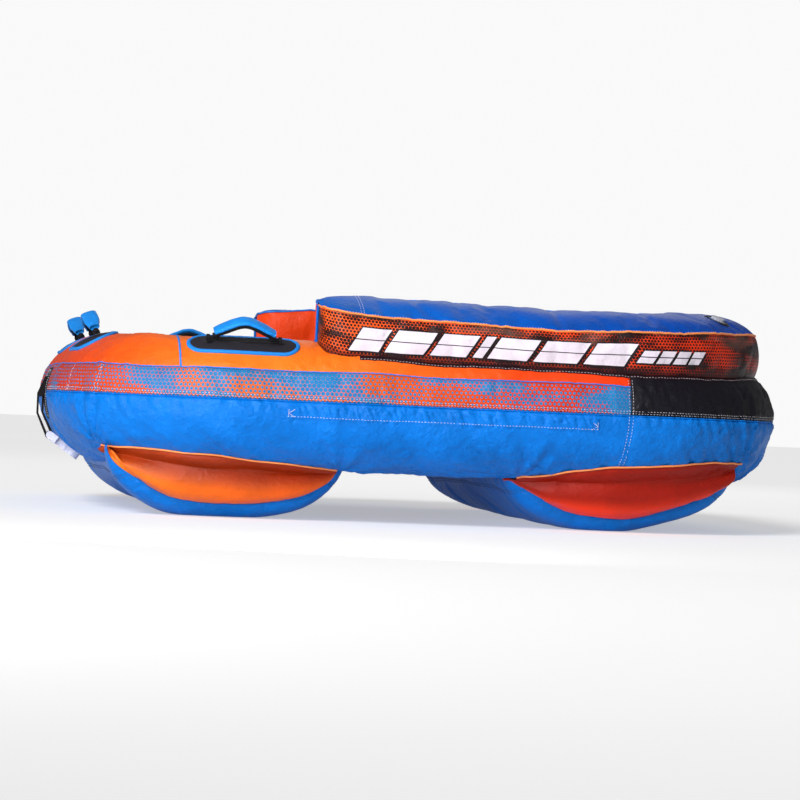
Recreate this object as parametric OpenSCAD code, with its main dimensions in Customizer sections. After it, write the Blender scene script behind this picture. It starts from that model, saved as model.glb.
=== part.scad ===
// Two-rider towable tube: a ring-shaped inflated hull with a sunk cockpit, a wraparound
// backrest on top and two crosswise pontoons underneath.
// Millimetres. +Z is up and z = 0 is the ground under the pontoons. The rider faces -X.
// The origin is the middle of the overall box, on the ground. Left is the -Y side.

/* [Hull] */
// Length of the inflated hull
hull_length = 1880; // [1820:10:1960]
// Width of the inflated hull
hull_width = 1600; // [1540:10:1700]
// Radius of the ring tube
tube_r = 160; // [158:1:164]
// Plan radius of the two front corners
front_corner_r = 450; // [430:10:500]
// Plan radius of the two rear corners
rear_corner_r = 480; // [450:10:520]
// Height of the hull's lowest line above the ground
ride_height = 125; // [118:1:135]
// Angle up the tube where the printed side band ends
band_top_angle = 33; // [28:1:38]
// Distance behind the hull's middle where the rear deck panel starts
rear_panel_x = 458; // [420:1:465]

/* [Backrest] */
// Width of the backrest cushion
backrest_width = 190; // [170:5:200]
// Height of the cushion's outer top edge above the tube's centre line
backrest_outer_z = 222; // [200:1:235]
// Height of the cushion's inner top edge above the tube's centre line
backrest_inner_z = 270; // [250:1:285]
// How far ahead of the hull's middle the two arms reach
backrest_reach = 312; // [250:1:320]

/* [Pontoons] */
// Length of one pontoon along the hull
pontoon_length = 615; // [560:5:630]
// Distance from the middle of the pontoon to its side panel
pontoon_half_width = 640; // [600:5:650]
// Middle of the front pontoon, ahead of the hull's middle
front_pontoon_x = 515; // [500:5:525]
// Middle of the rear pontoon, behind the hull's middle
rear_pontoon_x = 478; // [470:5:510]

/* [Handles] */
// Distance between the two feet of a handle
handle_span = 150; // [140:2:156]
// Height of the grip's outer face above its hinge line
handle_height = 54; // [52:1:70]
// Angle up the tube where the side handles sit
side_handle_angle = 63; // [60:1:70]
// Angle up the nose where the front handles sit
front_handle_angle = 70; // [66:1:74]
// Distance of the side handles ahead of the hull's middle
side_handle_x = 498; // [470:1:505]
// Distance of the front handles from the centre line
front_handle_y = 334; // [300:2:340]

/* [Tow point] */
// Width of the tow webbing
webbing_width = 38; // [34:1:40]
// Radius of the rope eye
rope_eye_r = 8; // [6:0.5:9]

/* [Hidden] */
$fn = 64;

skin = 1.5;          // thickness of a cover
wall = 1;            // thickness of a bladder's wall
gap = 0.1;           // gap in millimetres between two parts that lie against each other
seam = 0.05;         // angle left open where two panels are sewn edge to edge
run = 0.08;          // radial clearance of a turning or sliding fit
big = 3000;          // larger than the whole object

// Tow point, worked out first because it sets how far the object reaches forward.
patch_t = 2.6;
tow_bar_r = 5;
tow_loop_t = 3.5;
tow_bar_out = patch_t + tow_bar_r + 5;                 // from the hull's nose to the bar's centre
tow_reach = tow_bar_out + tow_bar_r + run + tow_loop_t;

x_front = -(hull_length + tow_reach) / 2 + tow_reach;  // the hull's nose
x_rear = x_front + hull_length;
x_mid = (x_front + x_rear) / 2;
half_w = hull_width / 2;
hull_z = ride_height + tube_r;                         // the ring tube's centre line
tube_y = half_w - tube_r;

floor_edge = 2 * tube_r + 6;                           // from the hull's outline to the floor
floor_top = hull_z - 40;
floor_bottom = hull_z - 140;
seat_t = 14;

backrest_edge = 40;                                    // from the hull's outline to the backrest
arm_r = backrest_width / 2;
arm_x = x_mid - backrest_reach + arm_r;                // centre of an arm's round end
arm_y = half_w - backrest_edge - arm_r;
crown = 22;

pontoon_top = hull_z - 118;
pontoon_n = 2.35;                                      // how square the pontoon's side view is
heel = 22;                                             // how far the bottom turns up at the ends

pad_length = 276;
side_pad_width = 92;
front_pad_width = 118;
front_pad_drop = 12;                                   // down the nose from the handle
binding_w = 9;
pad_t = 4;
hinge_n = tube_r + 13.5;                               // handle hinge line, out from the tube's centre
foot_r = 5;
strap_t = 9;
grip_t = 11.7;
apex_e = 18;

// ---------- Sweeping a section around the hull ----------
// A section is drawn as x = distance in from the hull's outline, y = height.

module hull_side(side) {
    length = hull_length - front_corner_r - rear_corner_r;
    mirror([0, side > 0 ? 1 : 0, 0])
        translate([x_front + front_corner_r, -half_w, 0])
            rotate([90, 0, 90])
                linear_extrude(length) children();
}

module hull_end(rear) {
    corner = rear ? rear_corner_r : front_corner_r;
    translate([rear ? x_rear : x_front, half_w - corner, 0])
        rotate([90, 0, 0])
            linear_extrude(hull_width - 2 * corner)
                mirror([rear ? 1 : 0, 0]) children();
}

module hull_corner(rear, side) {
    corner = rear ? rear_corner_r : front_corner_r;
    turn = rear ? (side > 0 ? 0 : 270) : (side > 0 ? 90 : 180);
    translate([rear ? x_rear - corner : x_front + corner, side * (half_w - corner), 0])
        rotate([0, 0, turn])
            rotate_extrude(angle = 90)
                translate([corner, 0]) mirror([1, 0]) children();
}

module sweep_hull() {
    for (side = [-1, 1]) {
        hull_side(side) children();
        for (rear = [false, true]) hull_corner(rear, side) children();
    }
    for (rear = [false, true]) hull_end(rear) children();
}

// The part of the sweep that carries the backrest.
module sweep_backrest() {
    for (side = [-1, 1]) {
        hull_side(side) children();
        hull_corner(true, side) children();
    }
    hull_end(true) children();
}

// Angle 0 points straight out of the hull, 90 up, 180 into the cockpit.
function tube_point(r, angle) = [tube_r - r * cos(angle), hull_z + r * sin(angle)];

module tube_disc(r) {
    translate([tube_r, hull_z]) circle(r);
}

module tube_arc(r_in, r_out, from, to) {
    steps = ceil((to - from) / 40);
    intersection() {
        difference() {
            tube_disc(r_out);
            tube_disc(r_in);
        }
        polygon(concat(
            [tube_point(0, 0)],
            [for (i = [0:steps]) tube_point(2 * tube_r, from + (to - from) * i / steps)]
        ));
    }
}

module ahead_of(x) {
    translate([x - big, -big / 2, -big / 2]) cube(big);
}

module behind(x) {
    translate([x, -big / 2, -big / 2]) cube(big);
}

// A block with the hull's rounded outline, set in by a margin.
module hull_block(margin, z0, z1) {
    sweep_block(x_front + margin, x_rear - margin, half_w - margin,
                front_corner_r - margin, rear_corner_r - margin, z0, z1);
}

module sweep_block(x0, x1, hw, rf, rr, z0, z1) {
    h = z1 - z0;
    translate([0, 0, z0]) {
        for (side = [-1, 1]) {
            translate([x0 + rf, side * (hw - rf), 0]) cylinder(h = h, r = rf);
            translate([x1 - rr, side * (hw - rr), 0]) cylinder(h = h, r = rr);
        }
        linear_extrude(h) polygon([
            [x0, -(hw - rf)], [x0 + rf, -hw], [x1 - rr, -hw], [x1, -(hw - rr)],
            [x1, hw - rr], [x1 - rr, hw], [x0 + rf, hw], [x0, hw - rf]
        ]);
    }
}

// ---------- Hull ----------

zip_x0 = x_mid - 389;
zip_length = 761;
zip_from = -14;
zip_to = -3;
zip_mid = (zip_from + zip_to) / 2;

// A strip of the tube's wall over the zip, grown by a margin in millimetres all round.
module zip_window(margin, r_in, r_out) {
    turn = margin / tube_r * 180 / PI;
    translate([zip_x0 - margin, -half_w, 0])
        rotate([90, 0, 90])
            linear_extrude(zip_length + 2 * margin)
                tube_arc(r_in, r_out, zip_from - turn, zip_to + turn);
}

module hull_lower_cover() {
    color("dodgerblue")
        difference() {
            sweep_hull() tube_arc(tube_r - skin, tube_r, -165, 0);
            zip_window(0.6, tube_r - 8, tube_r + 4);
        }
}

module hull_side_band() {
    color("coral")
        intersection() {
            sweep_hull() tube_arc(tube_r - skin, tube_r, seam, band_top_angle);
            ahead_of(x_mid + rear_panel_x);
        }
}

module hull_deck_cover() {
    color("orange")
        difference() {
            intersection() {
                sweep_hull() tube_arc(tube_r - skin, tube_r, band_top_angle + seam, 195 - seam);
                ahead_of(x_mid + rear_panel_x);
            }
            valve_frame(1) valve_hole(boot_r + 0.5);
        }
}

module hull_rear_panel() {
    color([0.08, 0.08, 0.09])
        intersection() {
            sweep_hull() tube_arc(tube_r - skin, tube_r, seam, 195 - seam);
            behind(x_mid + rear_panel_x + gap);
        }
}

module hull_bladder() {
    color("lightgrey")
        difference() {
            sweep_hull() difference() {
                tube_disc(tube_r - 10);
                tube_disc(tube_r - 10 - wall);
            }
            valve_frame(1) valve_hole(valve_stem_r + 0.5);
        }
}

module floor_cover() {
    color("royalblue")
        difference() {
            hull_block(floor_edge, floor_bottom, floor_top);
            hull_block(floor_edge + skin, floor_bottom + skin, floor_top - skin);
        }
}

module floor_bladder() {
    inset = skin + 1;
    color("lightgrey")
        difference() {
            hull_block(floor_edge + inset, floor_bottom + inset, floor_top - inset);
            hull_block(floor_edge + inset + wall, floor_bottom + inset + wall,
                       floor_top - inset - wall);
        }
}

module seat_pad(side) {
    pad_x0 = x_mid - 420;
    pad_x1 = x_mid + 560;
    pad_w = half_w - floor_edge - 40;
    color([0.12, 0.12, 0.13])
        intersection() {
            translate([pad_x0, side > 0 ? 12 : -pad_w, floor_top + gap])
                cube([pad_x1 - pad_x0, pad_w - 12, seat_t]);
            sweep_block(pad_x0, pad_x1, pad_w, 60, 120, floor_top + gap, floor_top + gap + seat_t);
        }
}

// ---------- Backrest ----------

function crown_point(d, t) = [
    backrest_edge + d + (backrest_width - 2 * d) * t,
    hull_z + backrest_outer_z + (backrest_inner_z - backrest_outer_z) * t
        + crown * sin(180 * t) - d
];

module backrest_section(d) {
    difference() {
        polygon(concat(
            [[backrest_edge + d, hull_z + 60]],
            [for (i = [0:10]) crown_point(d, i / 10)],
            [[backrest_edge + backrest_width - d, hull_z + 60]]
        ));
        tube_disc(tube_r + 0.5 + d);
    }
}

module backrest_solid(d) {
    intersection() {
        sweep_backrest() backrest_section(d);
        union() {
            behind(arm_x);
            for (side = [-1, 1])
                translate([arm_x, side * arm_y, 0]) cylinder(h = big, r = arm_r - d);
        }
    }
}

module backrest_cover() {
    difference() {
        backrest_solid(0);
        backrest_solid(skin);
    }
}

// The piping line runs from the outer to the inner top edge, two skins below the crown.
module backrest_zone(from, to, above) {
    rise = (backrest_inner_z - backrest_outer_z) / backrest_width;
    edge_z = function(x) hull_z + backrest_outer_z - 2 * skin + rise * (x - backrest_edge);
    shift = above ? gap : 0;
    far_z = hull_z + (above ? 500 : 0);
    polygon([
        [from, edge_z(from) + shift], [to, edge_z(to) + shift], [to, far_z], [from, far_z]
    ]);
}

module backrest_outer_panel() {
    middle = backrest_edge + arm_r;
    color([0.85, 0.25, 0.05])
        intersection() {
            backrest_cover();
            sweep_backrest() backrest_zone(0, middle, false);
        }
}

module backrest_inner_panel() {
    middle = backrest_edge + arm_r;
    color([0.95, 0.2, 0.03])
        intersection() {
            backrest_cover();
            sweep_backrest() backrest_zone(middle + gap, 2 * middle, false);
        }
}

module backrest_top_panel() {
    color([0.02, 0.35, 0.8])
        difference() {
            intersection() {
                backrest_cover();
                sweep_backrest() backrest_zone(0, 2 * (backrest_edge + arm_r), true);
            }
            valve_frame(0) valve_hole(boot_r + 0.5);
        }
}

module backrest_bladder() {
    inset = skin + 1;
    color("lightgrey")
        difference() {
            backrest_solid(inset);
            backrest_solid(inset + wall);
            valve_frame(0) valve_hole(boot_r + 0.5);
        }
}

// ---------- Pontoons ----------

function pontoon_point(d, t) = [
    -(pontoon_length / 2 - d) * sign(cos(t)) * pow(abs(cos(t)), 2 / pontoon_n),
    pontoon_top - (pontoon_top - d) * pow(sin(t), 2 / pontoon_n)
];

// Side view: a half superellipse whose lowest stretch is cut flat on the ground.
module pontoon_profile(d) {
    sag = 1.5;
    intersection() {
        translate([0, -sag])
            polygon([for (i = [0:24]) pontoon_point(d - sag, 180 * i / 24)]);
        translate([-big / 2, d]) square([big, pontoon_top - 2 * d]);
    }
}

module pontoon_front_view(d) {
    hw = pontoon_half_width - d;
    polygon([
        [-hw, pontoon_top], [-hw, heel + d], [-hw + heel, 7 + d], [-hw + 2.4 * heel, d],
        [hw - 2.4 * heel, d], [hw - heel, 7 + d], [hw, heel + d], [hw, pontoon_top]
    ]);
}

module pontoon_solid(x, d) {
    difference() {
        intersection() {
            translate([x, big / 2, 0]) rotate([90, 0, 0]) linear_extrude(big) pontoon_profile(d);
            translate([-big / 2, 0, 0])
                rotate([90, 0, 90]) linear_extrude(big) pontoon_front_view(d);
        }
        sweep_hull() tube_disc(tube_r + 0.4 + d);
        hull_block(floor_edge - 40, floor_bottom - 0.4 - d, hull_z);
    }
}

module pontoon_wrap(x, valve) {
    color("dodgerblue")
        difference() {
            pontoon_solid(x, 0);
            pontoon_solid(x, skin);
            for (side = [-1, 1])
                translate([-big / 2, side > 0 ? pontoon_half_width - skin - gap
                                              : -big - pontoon_half_width + skin + gap, -big / 2])
                    cube(big);
            valve_frame(valve) valve_hole(boot_r + 0.5);
        }
}

module pontoon_ends(x) {
    color("darkorange")
        difference() {
            pontoon_solid(x, 0);
            translate([-big / 2, -pontoon_half_width + skin, -big / 2])
                cube([big, 2 * (pontoon_half_width - skin), big]);
        }
}

module pontoon_bladder(x, valve) {
    inset = skin + 1.5;
    color("lightgrey")
        difference() {
            pontoon_solid(x, inset);
            pontoon_solid(x, inset + wall);
            valve_frame(valve) valve_hole(boot_r + 0.5);
        }
}

// ---------- Handles ----------
// In a handle's frame the origin is the tube's centre, x runs along the grip and z points out.

module handle_frame(front, side) {
    lean = 90 - (front ? front_handle_angle : side_handle_angle);
    if (front)
        translate([x_front + tube_r, side * front_handle_y, hull_z])
            rotate([0, -lean, 0]) rotate([0, 0, side > 0 ? 90 : -90]) children();
    else
        translate([x_mid - side_handle_x, side * tube_y, hull_z])
            rotate([-side * lean, 0, 0]) children();
}

module stadium(length, width) {
    square([length - width, width], center = true);
    for (s = [-1, 1]) translate([s * (length - width) / 2, 0]) circle(d = width);
}

module on_skin(front, side, t) {
    drop = front ? side * front_pad_drop : 0;
    intersection() {
        sweep_hull() difference() {
            tube_disc(tube_r + 0.4 + t);
            tube_disc(tube_r + 0.4);
        }
        handle_frame(front, side)
            linear_extrude(tube_r * 1.5) translate([0, drop]) children();
    }
}

function pad_width(front) = front ? front_pad_width : side_pad_width;

module handle_pad(front, side) {
    color([0.1, 0.1, 0.12])
        on_skin(front, side, pad_t)
            stadium(pad_length - 2 * binding_w, pad_width(front) - 2 * binding_w);
}

module pad_binding(front, side) {
    color([0.1, 0.6, 0.95])
        on_skin(front, side, pad_t + 1)
            difference() {
                stadium(pad_length, pad_width(front));
                stadium(pad_length - 2 * binding_w + gap, pad_width(front) - 2 * binding_w + gap);
            }
}

// Height of the strap's inner face: two straight legs with a rounded apex.
arch_h = handle_height - strap_t - grip_t - 0.3;
arch_k = arch_h / (sqrt(pow(handle_span / 2, 2) + pow(apex_e, 2)) - apex_e);
function arch_z(u) = arch_h - arch_k * (sqrt(u * u + apex_e * apex_e) - apex_e);
function arch_slope(u) = -arch_k * u / sqrt(u * u + apex_e * apex_e);
function arch_point(u, off) =
    let (s = arch_slope(u), len = sqrt(1 + s * s))
    [u - off * s / len, arch_z(u) + off / len];

module arch_band(half_span, off0, off1) {
    steps = 16;
    us = [for (i = [0:steps]) half_span * (2 * i / steps - 1)];
    polygon(concat(
        [for (u = us) arch_point(u, off0)],
        [for (i = [steps:-1:0]) arch_point(us[i], off1)]
    ));
}

// Narrows a band towards its feet, so that the handle can lie over without touching the pad.
module taper(widths) {
    translate([-handle_span, 0, 0])
        rotate([90, 0, 90])
            linear_extrude(2 * handle_span)
                polygon(concat(
                    [for (w = widths) [w[0], w[1]]],
                    [for (i = [len(widths) - 1:-1:0]) [-widths[i][0], widths[i][1]]]
                ));
}

module handle_strap(front, side) {
    color([0.07, 0.07, 0.08])
        handle_frame(front, side) translate([0, 0, hinge_n]) {
            intersection() {
                translate([0, 30, 0]) rotate([90, 0, 0])
                    linear_extrude(60) arch_band(handle_span / 2, 0, strap_t);
                taper([[5, -8], [5, 0], [15, 22], [15, 90]]);
            }
            for (s = [-1, 1])
                translate([s * (handle_span / 2 + 2) - 16, 0, 0])
                    rotate([0, 90, 0]) cylinder(h = 32, r = foot_r);
        }
}

module handle_grip(front, side) {
    off = strap_t + 0.3;
    color([0.1, 0.6, 0.95])
        handle_frame(front, side) translate([0, 0, hinge_n])
            intersection() {
                translate([0, 30, 0]) rotate([90, 0, 0])
                    linear_extrude(60) arch_band(handle_span / 2 - 9, off, off + grip_t);
                taper([[9, 4], [20, 30], [20, 90]]);
            }
}

module anchor_tab() {
    difference() {
        union() {
            cylinder(h = 8, r = foot_r + 3);
            translate([0, -9, 0]) cube([foot_r + 3.4, 18, 8]);
        }
        translate([0, 0, -1]) cylinder(h = 10, r = foot_r + run);
    }
}

module handle_anchor_tabs() {
    color([0.07, 0.07, 0.08])
        for (front = [false, true], side = [-1, 1], s = [-1, 1])
            handle_frame(front, side)
                translate([s * (handle_span / 2 + 13) - 4, 0, hinge_n])
                    rotate([0, 90, 0]) anchor_tab();
}

// ---------- Tow point ----------

tow_bar = [x_front - tow_bar_out, hull_z];
tow_knee = tow_bar - [0, 50];                          // where the webbing bends around the nose
tow_pin = tow_bar + [27.4, -108];
pin_r = 7;
connector_dip = 35;
connector_length = 96;
connector_t = 20;

// Two circles and the straight sides between them. The sides sit a hair inside the circles.
module capsule(p0, r0, p1, r1) {
    hair = 0.02;
    d = p1 - p0;
    phi = atan2(d[1], d[0]);
    beta = acos((r0 - r1) / norm(d));
    at = function(p, r, a) p + (r - hair) * [cos(a), sin(a)];
    translate(p0) circle(r0);
    translate(p1) circle(r1);
    polygon([
        at(p0, r0, phi + beta), at(p1, r1, phi + beta),
        at(p1, r1, phi - beta), at(p0, r0, phi - beta)
    ]);
}

module across(width) {
    translate([0, width / 2, 0]) rotate([90, 0, 0]) linear_extrude(width) children();
}

module tow_patch() {
    color([0.1, 0.1, 0.11])
        translate([x_front, 0, 0])
            across(130)
                tube_arc(tube_r + 0.4, tube_r + patch_t, -24, 26);
}

// Two sewn tabs that hold the bar off the patch.
module tow_anchor() {
    tab_w = 9;
    tab_y = webbing_width / 2 + 1.5;
    tab_angle = 15;
    tab_root = [x_front, 0] + tube_point(tube_r + patch_t + 2, tab_angle);
    color([0.07, 0.07, 0.08]) {
        translate([tow_bar[0], 0, tow_bar[1]])
            rotate([90, 0, 0]) cylinder(h = 2 * (tab_y + tab_w), r = tow_bar_r, center = true);
        for (side = [-1, 1])
            translate([0, side * (tab_y + tab_w / 2), 0])
                difference() {
                    across(tab_w) capsule(tow_bar, tow_bar_r + 3, tab_root, 4);
                    translate([x_front, 0, 0]) across(2 * tab_w) tube_disc(tube_r + patch_t + 0.2);
                }
    }
}

// The webbing runs down from the bar, bends at the knee and turns around the connector's pin.
loop_heading = atan2(tow_pin[1] - tow_knee[1], tow_pin[0] - tow_knee[0]);
function polar(r, a) = r * [cos(a), sin(a)];
function knee_corner(r) =
    let (half_bend = (loop_heading + 90) / 2)
    polar(r / cos(half_bend), half_bend);

module tow_loop() {
    bar_end = tow_bar_r + run + tow_loop_t;
    pin_end = pin_r + run + tow_loop_t;
    slot = tow_bar_r - 0.5;
    steps = 12;
    color([0.07, 0.07, 0.08])
        difference() {
            across(webbing_width)
                polygon(concat(
                    [for (i = [0:steps]) tow_bar + polar(bar_end, 180 * i / steps)],
                    [tow_knee - knee_corner(bar_end)],
                    [for (i = [0:steps])
                        tow_pin + polar(pin_end, loop_heading - 90 + 180 * i / steps)],
                    [tow_knee + knee_corner(bar_end)]
                ));
            across(webbing_width + 2)
                polygon([
                    tow_bar + [slot, 0], tow_bar - [slot, 0], tow_knee - knee_corner(slot),
                    tow_pin + polar(slot, loop_heading - 90),
                    tow_pin + polar(slot, loop_heading + 90), tow_knee + knee_corner(slot)
                ]);
            across(webbing_width + 2) translate(tow_bar) circle(tow_bar_r + run);
            across(webbing_width + 2) translate(tow_pin) circle(pin_r + run);
        }
}

module tow_connector() {
    ear_y = webbing_width / 2 + 1;
    ear_w = 7;
    shank_x = pin_r + run + tow_loop_t + 3;
    color("whitesmoke")
        translate([tow_pin[0], 0, tow_pin[1]]) rotate([0, connector_dip, 0])
            difference() {
                union() {
                    rotate([90, 0, 0])
                        cylinder(h = 2 * (ear_y + ear_w), r = pin_r, center = true);
                    for (side = [-1, 1])
                        translate([0, side * (ear_y + ear_w / 2), 0]) {
                            rotate([90, 0, 0])
                                cylinder(h = ear_w, r = connector_t / 2, center = true);
                            translate([0, -ear_w / 2, -connector_t / 2])
                                cube([shank_x + 8, ear_w, connector_t]);
                        }
                    translate([shank_x, -ear_y - ear_w, -connector_t / 2])
                        cube([9, 2 * (ear_y + ear_w), connector_t]);
                    translate([shank_x + 8, -15, -connector_t / 2])
                        cube([connector_length - shank_x - 8 - 18, 30, connector_t]);
                    translate([connector_length - 19, 0, -connector_t / 2])
                        cylinder(h = connector_t, r = 19);
                }
                translate([connector_length - 19, 0, -connector_t])
                    cylinder(h = 2 * connector_t, r = rope_eye_r);
                for (side = [-1, 1])
                    translate([connector_length - 42, side * 15 - 2.5, -connector_t])
                        cube([6, 5, 2 * connector_t]);
            }
}

// ---------- Valves ----------
// In a valve's frame the origin is on the cover and z points out of it.

boot_r = 34;
valve_stem_r = 22;
flange_r = 24;
bore_r = 12;
collar_r = 13;
cap_r = 17;

// The backrest's valve is in its top panel, partly round the left rear corner.
backrest_valve_turn = 45;
backrest_valve_t = 0.36;
backrest_valve = crown_point(0, backrest_valve_t);
backrest_valve_out = rear_corner_r - backrest_valve[0];
backrest_valve_tilt = atan((backrest_inner_z - backrest_outer_z
    + crown * PI * cos(180 * backrest_valve_t)) / backrest_width);
// The hull's valve is in the front wall of the cockpit.
hull_valve_angle = 48;
// Each pontoon's valve is in its rear face.
pontoon_valve = pontoon_point(0, 30);
pontoon_valve_tilt = 122;

// Each valve's place, and the turns about X, Y and Z that carry +Z onto its outward direction.
VALVES = [
    [[x_rear - rear_corner_r + backrest_valve_out * cos(backrest_valve_turn),
      rear_corner_r - half_w - backrest_valve_out * sin(backrest_valve_turn),
      backrest_valve[1] - 1],
     [0, backrest_valve_tilt, -backrest_valve_turn]],
    [[x_front + tube_r + tube_r * cos(hull_valve_angle), 0,
      hull_z + tube_r * sin(hull_valve_angle)],
     [0, 90 - hull_valve_angle, 0]],
    [[x_mid - front_pontoon_x - pontoon_valve[0], 0, pontoon_valve[1]],
     [0, pontoon_valve_tilt, 0]],
    [[x_mid + rear_pontoon_x - pontoon_valve[0], 0, pontoon_valve[1]],
     [0, pontoon_valve_tilt, 0]]
];

module valve_frame(i) {
    translate(VALVES[i][0]) rotate(VALVES[i][1]) children();
}

module valve_hole(r) {
    translate([0, 0, -60]) cylinder(h = 90, r = r);
}

module valve_boots() {
    color([0.06, 0.06, 0.07])
        for (i = [0:3])
            valve_frame(i)
                difference() {
                    union() {
                        translate([0, 0, -4]) cylinder(h = 6, r = boot_r);
                        cylinder(h = 4.5, r = flange_r + 5);
                    }
                    translate([0, 0, -6]) cylinder(h = 20, r = flange_r + 0.3);
                }
}

module valve_bodies() {
    color([0.75, 0.76, 0.8])
        for (i = [0:3])
            valve_frame(i)
                difference() {
                    union() {
                        translate([0, 0, -4]) cylinder(h = 7, r = flange_r);
                        translate([0, 0, -30]) cylinder(h = 27, r = valve_stem_r);
                    }
                    translate([0, 0, -40]) cylinder(h = 60, r = bore_r);
                }
}

module valve_leash(i) {
    color([0.85, 0.85, 0.88])
        valve_frame(i)
            difference() {
                union() {
                    translate([0, 0, 3.3]) cylinder(h = 1.4, r = cap_r + 1);
                    translate([cap_r - 2, -3, 3.3]) cube([6, 6, 1.4]);
                }
                cylinder(h = 10, r = collar_r + run);
            }
}

module valve_cap(i) {
    grips = 12;
    color([0.88, 0.88, 0.92])
        valve_frame(i) {
            translate([0, 0, -6]) cylinder(h = 9.1, r = bore_r - run);
            translate([0, 0, 3.1]) cylinder(h = 1.9, r = collar_r);
            difference() {
                translate([0, 0, 5]) cylinder(h = 6, r = cap_r);
                for (k = [0:grips - 1])
                    rotate([0, 0, 360 * k / grips])
                        translate([cap_r + 1, 0, 4]) cylinder(h = 8, r = 2.4);
            }
        }
}

// ---------- Closure zip ----------

module zip_strip(r_in, r_out, from, to) {
    translate([zip_x0 + 1, -half_w, 0])
        rotate([90, 0, 90])
            linear_extrude(zip_length - 2) tube_arc(r_in, r_out, from, to);
}

module zip_tapes() {
    slit = 0.45;
    color([0.15, 0.15, 0.17]) {
        zip_strip(tube_r - 7.4, tube_r - 6.2, zip_from, zip_mid - slit);
        zip_strip(tube_r - 7.4, tube_r - 6.2, zip_mid + slit, zip_to);
    }
}

// The slider rides on the tapes. It is parked at the front end of the zip.
module zip_slider() {
    body_w = 11;
    body_l = 16;
    color([0.6, 0.6, 0.62])
        translate([zip_x0 + 24, -half_w + tube_r, hull_z]) rotate([90 - zip_mid, 0, 0]) {
            for (z = [tube_r - 9, tube_r - 5.9])
                translate([-body_l / 2, -body_w / 2, z]) cube([body_l, body_w, 1.2]);
            translate([-body_l / 2, -0.6, tube_r - 9]) cube([3, 1.2, 4]);
            translate([-4, -2.5, tube_r - 4.8]) cube([24, 5, 1.2]);
        }
}

module zip_flap() {
    color("dodgerblue") zip_window(0, tube_r - skin, tube_r);
}

// ---------- Nodes ----------

hull_lower_cover();
hull_side_band();
hull_deck_cover();
hull_rear_panel();
hull_bladder();
floor_cover();
floor_bladder();
seat_pad(-1);  // seat_pad_left
seat_pad(1);  // seat_pad_right
backrest_outer_panel();
backrest_top_panel();
backrest_inner_panel();
backrest_bladder();
pontoon_wrap(x_mid - front_pontoon_x, 2);  // front_pontoon_wrap
pontoon_ends(x_mid - front_pontoon_x);  // front_pontoon_ends
pontoon_bladder(x_mid - front_pontoon_x, 2);  // front_pontoon_bladder
pontoon_wrap(x_mid + rear_pontoon_x, 3);  // rear_pontoon_wrap
pontoon_ends(x_mid + rear_pontoon_x);  // rear_pontoon_ends
pontoon_bladder(x_mid + rear_pontoon_x, 3);  // rear_pontoon_bladder
handle_pad(true, -1);  // pad_front_left
handle_pad(true, 1);  // pad_front_right
handle_pad(false, -1);  // pad_side_left
handle_pad(false, 1);  // pad_side_right
pad_binding(true, -1);  // binding_front_left
pad_binding(true, 1);  // binding_front_right
pad_binding(false, -1);  // binding_side_left
pad_binding(false, 1);  // binding_side_right
handle_anchor_tabs();
handle_strap(true, -1);  // strap_front_left
handle_strap(true, 1);  // strap_front_right
handle_strap(false, -1);  // strap_side_left
handle_strap(false, 1);  // strap_side_right
handle_grip(true, -1);  // grip_front_left
handle_grip(true, 1);  // grip_front_right
handle_grip(false, -1);  // grip_side_left
handle_grip(false, 1);  // grip_side_right
tow_patch();
tow_anchor();
tow_loop();
tow_connector();
valve_boots();
valve_bodies();
valve_leash(0);  // leash_backrest
valve_leash(1);  // leash_hull
valve_leash(2);  // leash_front_pontoon
valve_leash(3);  // leash_rear_pontoon
valve_cap(0);  // cap_backrest
valve_cap(1);  // cap_hull
valve_cap(2);  // cap_front_pontoon
valve_cap(3);  // cap_rear_pontoon
zip_tapes();
zip_slider();
zip_flap();
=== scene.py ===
"""Looks of a two-rider towable tube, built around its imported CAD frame."""
import math

import bpy
import numpy as np
from mathutils import Matrix, Vector


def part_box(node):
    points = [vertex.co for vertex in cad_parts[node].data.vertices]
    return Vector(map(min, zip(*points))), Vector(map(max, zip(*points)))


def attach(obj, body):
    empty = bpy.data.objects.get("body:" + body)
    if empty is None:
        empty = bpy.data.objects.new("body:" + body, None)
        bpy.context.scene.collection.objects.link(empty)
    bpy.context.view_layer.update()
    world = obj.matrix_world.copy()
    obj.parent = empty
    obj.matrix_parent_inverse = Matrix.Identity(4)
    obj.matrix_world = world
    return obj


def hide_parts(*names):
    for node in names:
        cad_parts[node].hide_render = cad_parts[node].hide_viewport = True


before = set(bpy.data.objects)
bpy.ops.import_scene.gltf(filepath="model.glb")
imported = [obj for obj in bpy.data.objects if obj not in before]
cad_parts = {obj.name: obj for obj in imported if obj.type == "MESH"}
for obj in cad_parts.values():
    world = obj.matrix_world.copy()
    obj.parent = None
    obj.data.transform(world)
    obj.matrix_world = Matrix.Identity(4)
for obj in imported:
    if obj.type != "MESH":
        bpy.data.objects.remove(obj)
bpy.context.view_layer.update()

# ---------- Sizes, in metres, worked out from the frame ----------
MM = 0.001
lower_lo, lower_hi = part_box("hull_lower_cover")
_, band_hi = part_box("hull_side_band")
HULL_Z = lower_hi.z                      # height of the ring tube's centre line
TUBE_R = lower_hi.z - lower_lo.z
X0, X1 = lower_lo.x, lower_hi.x          # the hull's nose and tail
XM = (X0 + X1) / 2
HALF_W = lower_hi.y
BAND_TOP = math.degrees(math.asin((band_hi.z - HULL_Z) / TUBE_R)) - 2.5
BAND_LOW = 3.0                           # tube angle of the seam along the hull's widest line
REAR_SEAM_X = band_hi.x
FRONT_R, REAR_R = 0.450, 0.480           # plan radii of the hull's corners
CLOTH_T = 1.4 * MM
HULL = "hull"                            # the body that everything soft rides on


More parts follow.
